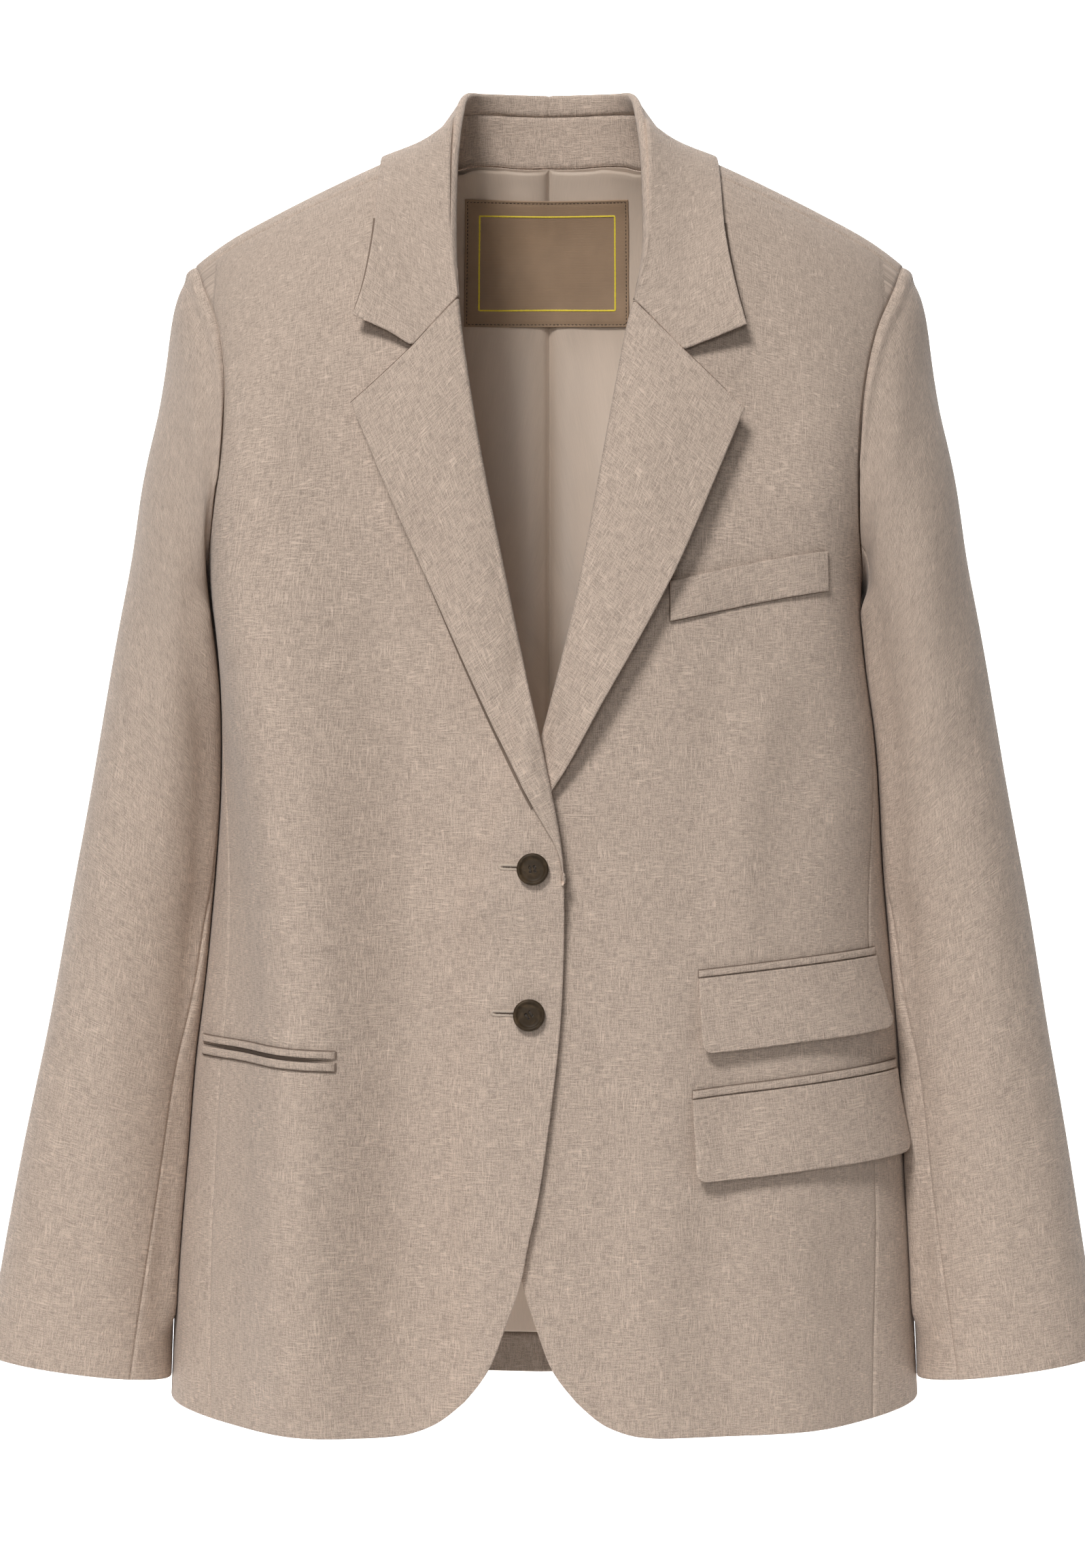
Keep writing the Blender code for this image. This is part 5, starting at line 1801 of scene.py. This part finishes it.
def evenly(points, step, closed=False):
    # the same line with its points a step apart
    points = np.asarray(points, float)
    if closed:
        points = np.concatenate([points, points[:1]])
    length = np.concatenate([[0], np.cumsum(np.linalg.norm(np.diff(points, axis=0), axis=-1))])
    count = max(2, round(length[-1] / step))
    at = np.linspace(0, length[-1], count + 1)
    row = np.stack([np.interp(at, length, points[:, k]) for k in range(points.shape[1])], -1)
    return row[:-1] if closed else row


# the woven frame of the label and the stitches that hold it
labelSewing = {
    "pointStep": 0.001,
    "frameLift": -0.00006,
    "frame": {
        "Pitch": 0.00052,
        "Length": 0.00090,
        "Width": 0.00125,
        "Height": 0.00030,
        "Turn": 0.0,
        "Uneven": 0.25,
    },
    "edgeLift": 0.00022,
    "edge": {
        "Pitch": 0.0024,
        "Length": 0.0017,
        "Width": 0.00060,
        "Height": 0.00046,
        "Turn": 0.0,
        "Uneven": 0.3,
    },
}


def labelRow(corners, lift):
    row = evenly(corners, labelSewing["pointStep"], True)
    return [(swung(onBackInside(row, patchLabel["lift"] + lift)), True)]


stitchRow(
    "label_frame",
    labelRow(patchLabel["frame"], labelSewing["frameLift"]),
    Seed=3,
    Thread=finishes["yellow"],
    **labelSewing["frame"],
)
corners = np.array(patchLabel["corners"])
inset = corners - np.sign(corners - corners.mean(axis=0)) * patchLabel["stitchInset"]
stitchRow(
    "label_edge_stitches",
    labelRow(inset, labelSewing["edgeLift"]),
    Seed=5,
    Thread=finishes["darkThread"],
    **labelSewing["edge"],
)

buttonholes = {
    "places": {
        "upper": ((-0.0281, -0.4337), (-0.0085, -0.4344)),
        "lower": ((-0.0321, -0.5199), (-0.0100, -0.5205)),
    },
    "halfWidth": 0.00115,
    "pointStep": 0.0004,
    "lift": 0.00020,
    "slit": 0.00042,
    "slitEnd": 0.00005,
    "slitLift": 0.00040,
    "purl": {
        "Pitch": 0.00040,
        "Length": 0.00175,
        "Width": 0.00046,
        "Height": 0.00130,
        "Turn": math.pi / 2,
        "Uneven": 0.2,
    },
}


def stadium(start, end, half):
    # a loop of points round a line, a half width away from it
    start, end = np.array(start), np.array(end)
    ahead = (end - start) / np.linalg.norm(end - start)
    aside = np.array((-ahead[1], ahead[0]))
    turns = np.linspace(-math.pi / 2, math.pi / 2, 9)[:, None]
    front = end + half * (ahead * np.cos(turns) + aside * np.sin(turns))
    back = start - half * (ahead * np.cos(turns) + aside * np.sin(turns))
    return np.concatenate([front, back])


def ribbons(name, strips, material):
    # narrow flat strips, each between two rows of points, that face forward
    points, faces = [], []
    for low, high in strips:
        if np.cross(low[1] - low[0], high[0] - low[0])[1] > 0:
            low, high = high, low
        first, count = sum(len(part) for part in points), len(low)
        points += [low, high]
        lower = range(first, first + count - 1)
        faces += [(i, i + 1, count + i + 1, count + i) for i in lower]
    mesh = bpy.data.meshes.new(name)
    mesh.from_pydata(np.concatenate(points).tolist(), [], faces)
    mesh.materials.append(material)
    settle(linked(name, mesh), [])


def tube(points, radius, sides=10):
    # vertices and faces of a closed round cord along points
    points = np.asarray(points, float)
    ahead = np.gradient(points, axis=0)
    ahead /= np.linalg.norm(ahead, axis=-1, keepdims=True)
    first = np.cross(ahead, (0.31, 0.89, 0.33))
    first /= np.linalg.norm(first, axis=-1, keepdims=True)
    second = np.cross(ahead, first)
    turns = np.linspace(0, 2 * math.pi, sides, endpoint=False)[None, :, None]
    ring = points[:, None] + radius * (first[:, None] * np.cos(turns) + second[:, None] * np.sin(turns))
    count = len(points)
    index = np.arange(count * sides).reshape(count, sides)
    after = np.roll(index, -1, axis=1)
    faces = np.stack([index[:-1], after[:-1], after[1:], index[1:]], -1).reshape(-1, 4).tolist()
    faces += [index[0, ::-1].tolist(), index[-1].tolist()]
    return ring.reshape(-1, 3), faces


def cordPiece(name, cords, material):
    # one piece of several tubes
    points, faces = [], []
    for ring, sides in cords:
        first = sum(len(part) for part in points)
        points.append(ring)
        faces += [[first + i for i in face] for face in sides]
    mesh = bpy.data.meshes.new(name)
    mesh.from_pydata(np.concatenate(points).tolist(), [], faces)
    mesh.shade_smooth()
    mesh.materials.append(material)
    settle(linked(name, mesh), [])


for name, (start, end) in buttonholes["places"].items():
    loop = evenly(stadium(start, end, buttonholes["halfWidth"]), buttonholes["pointStep"], True)
    path = swung(onFront(loop, buttonholes["lift"], True))
    stitchRow(
        "buttonhole_purl_" + name,
        [(path, True)],
        Seed=11,
        Thread=finishes["holeThread"],
        **buttonholes["purl"],
    )
    # a dark ribbon along the slit: painted shade of the opening
    slit = np.linspace(start, end, 14)
    wide = buttonholes["slit"] * np.sqrt(np.maximum(0.0, 1 - np.linspace(-1, 1, 14) ** 4))
    wide = wide + buttonholes["slitEnd"]
    rows = [slit + np.stack([0 * wide, side * wide], -1) for side in (-1, 1)]
    strip = [swung(onFront(row, buttonholes["slitLift"], True)) for row in rows]
    ribbons("buttonhole_slit_" + name, [strip], finishes["dark"])
print("buttonholes sewn")

buttonForm = {
    "places": {"upper": (-0.0099, -0.4350), "lower": (-0.0115, -0.5210)},
    "profile": (
        (0.0, 0.0),
        (0.0062, 0.0),
        (0.0082, 0.0002),
        (0.0091, 0.0008),
        (0.0094, 0.0016),
        (0.0094, 0.0024),
        (0.0091, 0.0032),
        (0.0085, 0.0036),
        (0.0079, 0.0036),
        (0.0073, 0.0032),
        (0.0068, 0.0028),
        (0.0060, 0.0026),
        (0.0040, 0.0027),
        (0.0, 0.0028),
    ),
    "steps": 96,
    "holeAt": 0.00135,
    "holeRadius": 0.00095,
    "holeSteps": 24,
    "holeDepth": (-0.002, 0.006),
    "sharpFrom": 0.7,
    "turn": 0.12,
    "turnMore": 0.5,
    "shank": 0.0011,
    "shankRadius": 0.0013,
    "thread": 0.00024,
    "strands": (-0.00026, 0.00026),
    # share of the way from the middle to a hole, height
    "strandRow": (
        (-1, 0.0006),
        (-1, 0.0024),
        (-0.86, 0.0031),
        (0, 0.0034),
        (0.86, 0.0031),
        (1, 0.0024),
        (1, 0.0006),
    ),
}


def buttonMesh(name):
    # a turned disc: rings of the profile, closed at both poles
    profile = np.array(buttonForm["profile"])
    profile = np.concatenate([profile[:1], through(profile[1:-1], 3), profile[-1:]])
    steps = buttonForm["steps"]
    turns = np.linspace(0, 2 * math.pi, steps, endpoint=False)
    points = [(0.0, 0.0, float(profile[0, 1]))]
    for radius, height in profile[1:-1]:
        points += [(radius * math.cos(a), radius * math.sin(a), height) for a in turns]
    points.append((0.0, 0.0, float(profile[-1, 1])))
    count, last = len(profile) - 2, len(points) - 1
    faces = [(0, 1 + (i + 1) % steps, 1 + i) for i in range(steps)]
    for row in range(count - 1):
        low, high = 1 + row * steps, 1 + (row + 1) * steps
        ring = [(i, (i + 1) % steps) for i in range(steps)]
        faces += [(low + i, low + after, high + after, high + i) for i, after in ring]
    top = 1 + (count - 1) * steps
    faces += [(last, top + i, top + (i + 1) % steps) for i in range(steps)]
    mesh = bpy.data.meshes.new(name)
    mesh.from_pydata(points, [], faces)
    return mesh


def holeCutter():
    # four short rods, one for each hole
    at, radius, count = buttonForm["holeAt"], buttonForm["holeRadius"], buttonForm["holeSteps"]
    turns = [k * math.pi / (count / 2) for k in range(count)]
    points, faces = [], []
    for x, y in ((-at, -at), (at, -at), (at, at), (-at, at)):
        low = len(points)
        high = low + count
        for z in buttonForm["holeDepth"]:
            points += [(x + radius * math.cos(a), y + radius * math.sin(a), z) for a in turns]
        faces.append([low + k for k in range(count)][::-1])
        faces.append([high + k for k in range(count)])
        ring = [(k, (k + 1) % count) for k in range(count)]
        faces += [(low + k, low + after, high + after, high + k) for k, after in ring]
    mesh = bpy.data.meshes.new("hole_cutter")
    mesh.from_pydata(points, [], faces)
    return mesh


def buttonFrame(mark):
    # middle of the button and its own directions, standing on the cloth
    near = 0.004
    x, z = mark
    right = onFront([(x + near, z)], 0, True)[0] - onFront([(x - near, z)], 0, True)[0]
    up = onFront([(x, z + near)], 0, True)[0] - onFront([(x, z - near)], 0, True)[0]
    out = np.cross(right, up)
    out /= np.linalg.norm(out)
    out = out if out[1] < 0 else -out
    right /= np.linalg.norm(right)
    up = np.cross(out, right)
    middle = onFront([mark], buttonForm["shank"], True)[0]
    return middle, np.stack([right, up, out])


for number, (name, mark) in enumerate(buttonForm["places"].items()):
    middle, axes = buttonFrame(mark)
    button = linked("horn_button_" + name, buttonMesh("button_" + name))
    cutter = linked("hole_cutter", holeCutter())
    modifier = button.modifiers.new("holes", "BOOLEAN")
    modifier.object, modifier.solver, modifier.operation = cutter, "EXACT", "DIFFERENCE"
    mesh = plainMesh(button)
    bpy.data.objects.remove(cutter)
    turn = buttonForm["turn"] + buttonForm["turnMore"] * number
    cosine, sine = math.cos(turn), math.sin(turn)
    spun = np.array([[cosine, sine, 0], [-sine, cosine, 0], [0, 0, 1]]) @ axes
    flat = np.empty(len(mesh.vertices) * 3)
    mesh.vertices.foreach_get("co", flat)
    placed = swung(middle + flat.reshape(-1, 3) @ spun)
    mesh.vertices.foreach_set("co", placed.ravel())
    mesh.materials.clear()
    mesh.materials.append(finishes["button"])
    mesh.shade_smooth()
    mesh.set_sharp_from_angle(angle=buttonForm["sharpFrom"])
    mesh.update()
    button.data = mesh
    settle(button, ["button_" + name])
    cords = []
    at = buttonForm["holeAt"]
    for side in (-1, 1):
        for strand in buttonForm["strands"]:
            row = through([(share * at, z) for share, z in buttonForm["strandRow"]], 4)
            path = np.stack([0 * row[:, 0] + side * at + strand, row[:, 0], row[:, 1]], -1)
            cords.append(tube(swung(middle + path @ spun), buttonForm["thread"]))
    shank = np.array([(0, 0, z) for z in np.linspace(-buttonForm["shank"] - 0.0004, 0.0004, 5)])
    cords.append(tube(swung(middle + shank @ spun), buttonForm["shankRadius"], 16))
    cordPiece("button_thread_" + name, cords, finishes["darkThread"])
print("buttons sewn on")

# the stitches at the ends of the chest welt
weltSewing = {
    "shares": (0.035, 0.965),
    "inset": 0.10,
    "lift": 0.00004,
    "row": {
        "Pitch": 0.0022,
        "Length": 0.0015,
        "Width": 0.00032,
        "Height": 0.00026,
        "Turn": 0.0,
        "Uneven": 0.3,
    },
}


def weltPoints(share):
    # a line up the welt, at a share of its width
    cut = quadXz(pocketCut["chest_welt"])
    t = np.linspace(weltSewing["inset"], 1 - weltSewing["inset"], 24)
    return swung(onFront(cut(0 * t + share, t), pocketCut["weltLift"] + weltSewing["lift"]))


rows = [(weltPoints(share), False) for share in weltSewing["shares"]]
stitchRow("chest_welt_stitches", rows, Seed=17, Thread=finishes["holeThread"], **weltSewing["row"])

# a dark ribbon in the mouth between the two jets, widest in the middle: painted shade of the opening
mouthForm = {"gape": 0.62, "lift": 0.0016, "ends": (0.01, 0.99)}
mouth = quadXz(
    (
        pocketCut["pocket_jet_upper"][3],
        pocketCut["pocket_jet_upper"][2],
        pocketCut["pocket_jet_lower"][1],
        pocketCut["pocket_jet_lower"][0],
    )
)
share = np.linspace(*mouthForm["ends"], 40)
gape = mouthForm["gape"] * (1 - np.abs(2 * share - 1) ** 3)
strip = [swung(onFront(mouth(share, 0.5 + side * gape), mouthForm["lift"])) for side in (-1, 1)]
ribbons("pocket_mouth", [strip], finishes["dark"])

# dark lines of painted shade under sewn and pressed edges: half widths, and how far outside the edge they
# lie
creaseShades = {
    "half": 0.00026,
    "lift": 0.0009,
    "outside": 0.00020,
    "pointStep": 0.003,
    "edgeHalf": 0.0008,
    "collarOut": 0.0008,
    "collarPart": (0.78, 0.985),
    "lapelOut": 0.0011,
    "lapelPart": (-0.400, -0.160),
}


def shadeLines(name, rows, half, right=False):
    # thin ribbons of painted shade on the front, along rows of points of x and z
    strips = []
    for row in rows:
        ahead = np.gradient(row, axis=0)
        aside = np.stack([-ahead[:, 1], ahead[:, 0]], -1)
        aside *= half / np.linalg.norm(aside, axis=1, keepdims=True)
        strips.append([swung(onFront(row + aside * out, creaseShades["lift"], right)) for out in (-1, 1)])
    ribbons(name, strips, finishes["crease"])


def crease(name, sides):
    # painted shade along the line where a pocket piece is sewn down, along the named sides of its outline
    topLeft, topRight, lowRight, lowLeft = (np.array(corner, float) for corner in pocketCut[name])
    ends = {
        "top": (topLeft, topRight),
        "bottom": (lowLeft, lowRight),
        "left": (lowLeft, topLeft),
        "right": (lowRight, topRight),
    }
    middle = (topLeft + topRight + lowRight + lowLeft) / 4
    rows = []
    for side in sides:
        start, end = ends[side]
        count = max(3, round(float(np.linalg.norm(end - start)) / creaseShades["pointStep"]))
        ahead = (end - start) / np.linalg.norm(end - start)
        aside = np.array((-ahead[1], ahead[0]))
        aside = aside if np.dot(aside, start - middle) > 0 else -aside
        rows.append(np.linspace(start, end, count) + aside * creaseShades["outside"])
    shadeLines(name + "_crease", rows, creaseShades["half"])


for name, sides in (
    ("ticket_jet", ("top", "left", "right")),
    ("hip_jet", ("top", "left", "right")),
    ("pocket_jet_upper", ("top", "left", "right")),
    ("pocket_jet_lower", ("bottom", "left", "right")),
    ("chest_welt", ("left", "right", "bottom")),
):
    crease(name, sides)
# dark lines of painted shade just outside the outer edge of each collar point and of the right lapel
for side, sign in sideNames:
    edge = collarSides[side][2](np.linspace(*creaseShades["collarPart"], 30), np.ones(30))
    row = edge[:, [0, 2]] + (sign * creaseShades["collarOut"], 0)
    shadeLines("collar_edge_line_" + side, [row], creaseShades["edgeHalf"])
row = through(lapelCut["edge"]["right"], 6)
low, high = creaseShades["lapelPart"]
row = row[(row[:, 1] > low) & (row[:, 1] < high)] - (creaseShades["lapelOut"], 0)
shadeLines("lapel_edge_line_right", [row], creaseShades["edgeHalf"], True)
print("small sewing done")

studio = {
    "floorZ": -1.10,
    "wallY": 2.6,
    "half": 2.6,
    "frontY": -0.9,
    "topZ": 5.0,
    "curve": 1.2,
    "curveSteps": 24,
    "backdrop": (0.93, 0.93, 0.93),
    "camera": (-0.00423, -2.5, -0.3848),
    # half the height of the view at the garment, which stands where y is 0
    "halfView": 1153 * 0.4233e-3,
    "sensor": 36,
    "middle": (0, 0, -0.38),
    "keyPower": 226.0,
    "keySize": 1.25,
    "keyPlace": (-1.40, -3.95, 3.0),
    "fillPower": 16.0,
    "fillSize": 0.7,
    "fillPlace": (-0.30, -3.1, 0.0),
    "wallPower": 222.0,
    "wallSize": 2.4,
    "wallPlace": (0.0, 0.9, 1.9),
    "wallTarget": (0, 2.6, 1.0),
    "world": 0.10,
}


def paperMaterial():
    # plain paper that lets a view from behind it through
    paint = Paint("backdrop_paper", studio["backdrop"], 0.9, specular=0.2)
    mixer = paint.add("ShaderNodeMixShader")
    behind = paint.add("ShaderNodeNewGeometry").outputs["Backfacing"]
    clear = paint.add("ShaderNodeBsdfTransparent").outputs[0]
    for index, start in enumerate((behind, paint.shader.outputs[0], clear)):
        paint.tree.links.new(start, mixer.inputs[index])
    paint.tree.links.new(mixer.outputs[0], paint.tree.nodes["Material Output"].inputs["Surface"])
    return paint.material


def layBackdrop():
    # a floor that turns up into a wall
    count, curve = studio["curveSteps"], studio["curve"]
    turns = [math.pi / 2 * step / count for step in range(count + 1)]
    wall, floor = studio["wallY"], studio["floorZ"]
    bend = [(wall + curve * (math.sin(a) - 1), floor + curve * (1 - math.cos(a))) for a in turns]
    section = [(studio["frontY"], floor), *bend, (wall, studio["topZ"])]
    points = [(x, y, z) for y, z in section for x in (-studio["half"], studio["half"])]
    faces = [(2 * i, 2 * i + 1, 2 * i + 3, 2 * i + 2) for i in range(len(section) - 1)]
    mesh = bpy.data.meshes.new("backdrop")
    mesh.from_pydata(points, [], faces)
    mesh.shade_smooth()
    mesh.materials.append(paperMaterial())
    linked("backdrop", mesh)


def areaLight(name, target):
    data = bpy.data.lights.new(name, "AREA")
    data.energy, data.size = studio[name + "Power"], studio[name + "Size"]
    light = linked(name, data)
    light.location = studio[name + "Place"]
    ahead = Vector(target) - light.location
    light.rotation_euler = ahead.to_track_quat("-Z", "Y").to_euler()


layBackdrop()
areaLight("key", studio["middle"])
areaLight("fill", studio["middle"])
areaLight("wall", studio["wallTarget"])
world = bpy.data.worlds.new("studio")
world.use_nodes = True
world.node_tree.nodes["Background"].inputs["Color"].default_value = (1, 1, 1, 1)
world.node_tree.nodes["Background"].inputs["Strength"].default_value = studio["world"]
bpy.context.scene.world = world
bpy.context.scene.view_settings.view_transform = "Standard"

cameraData = bpy.data.cameras.new("camera")
cameraData.sensor_width = studio["sensor"]
cameraData.sensor_fit = "AUTO"
cameraData.lens = studio["sensor"] / 2 / (studio["halfView"] / -studio["camera"][1])
camera = linked("camera", cameraData)
camera.location = studio["camera"]
camera.rotation_euler = (math.pi / 2, 0, 0)
bpy.context.scene.camera = camera

print("scene made")
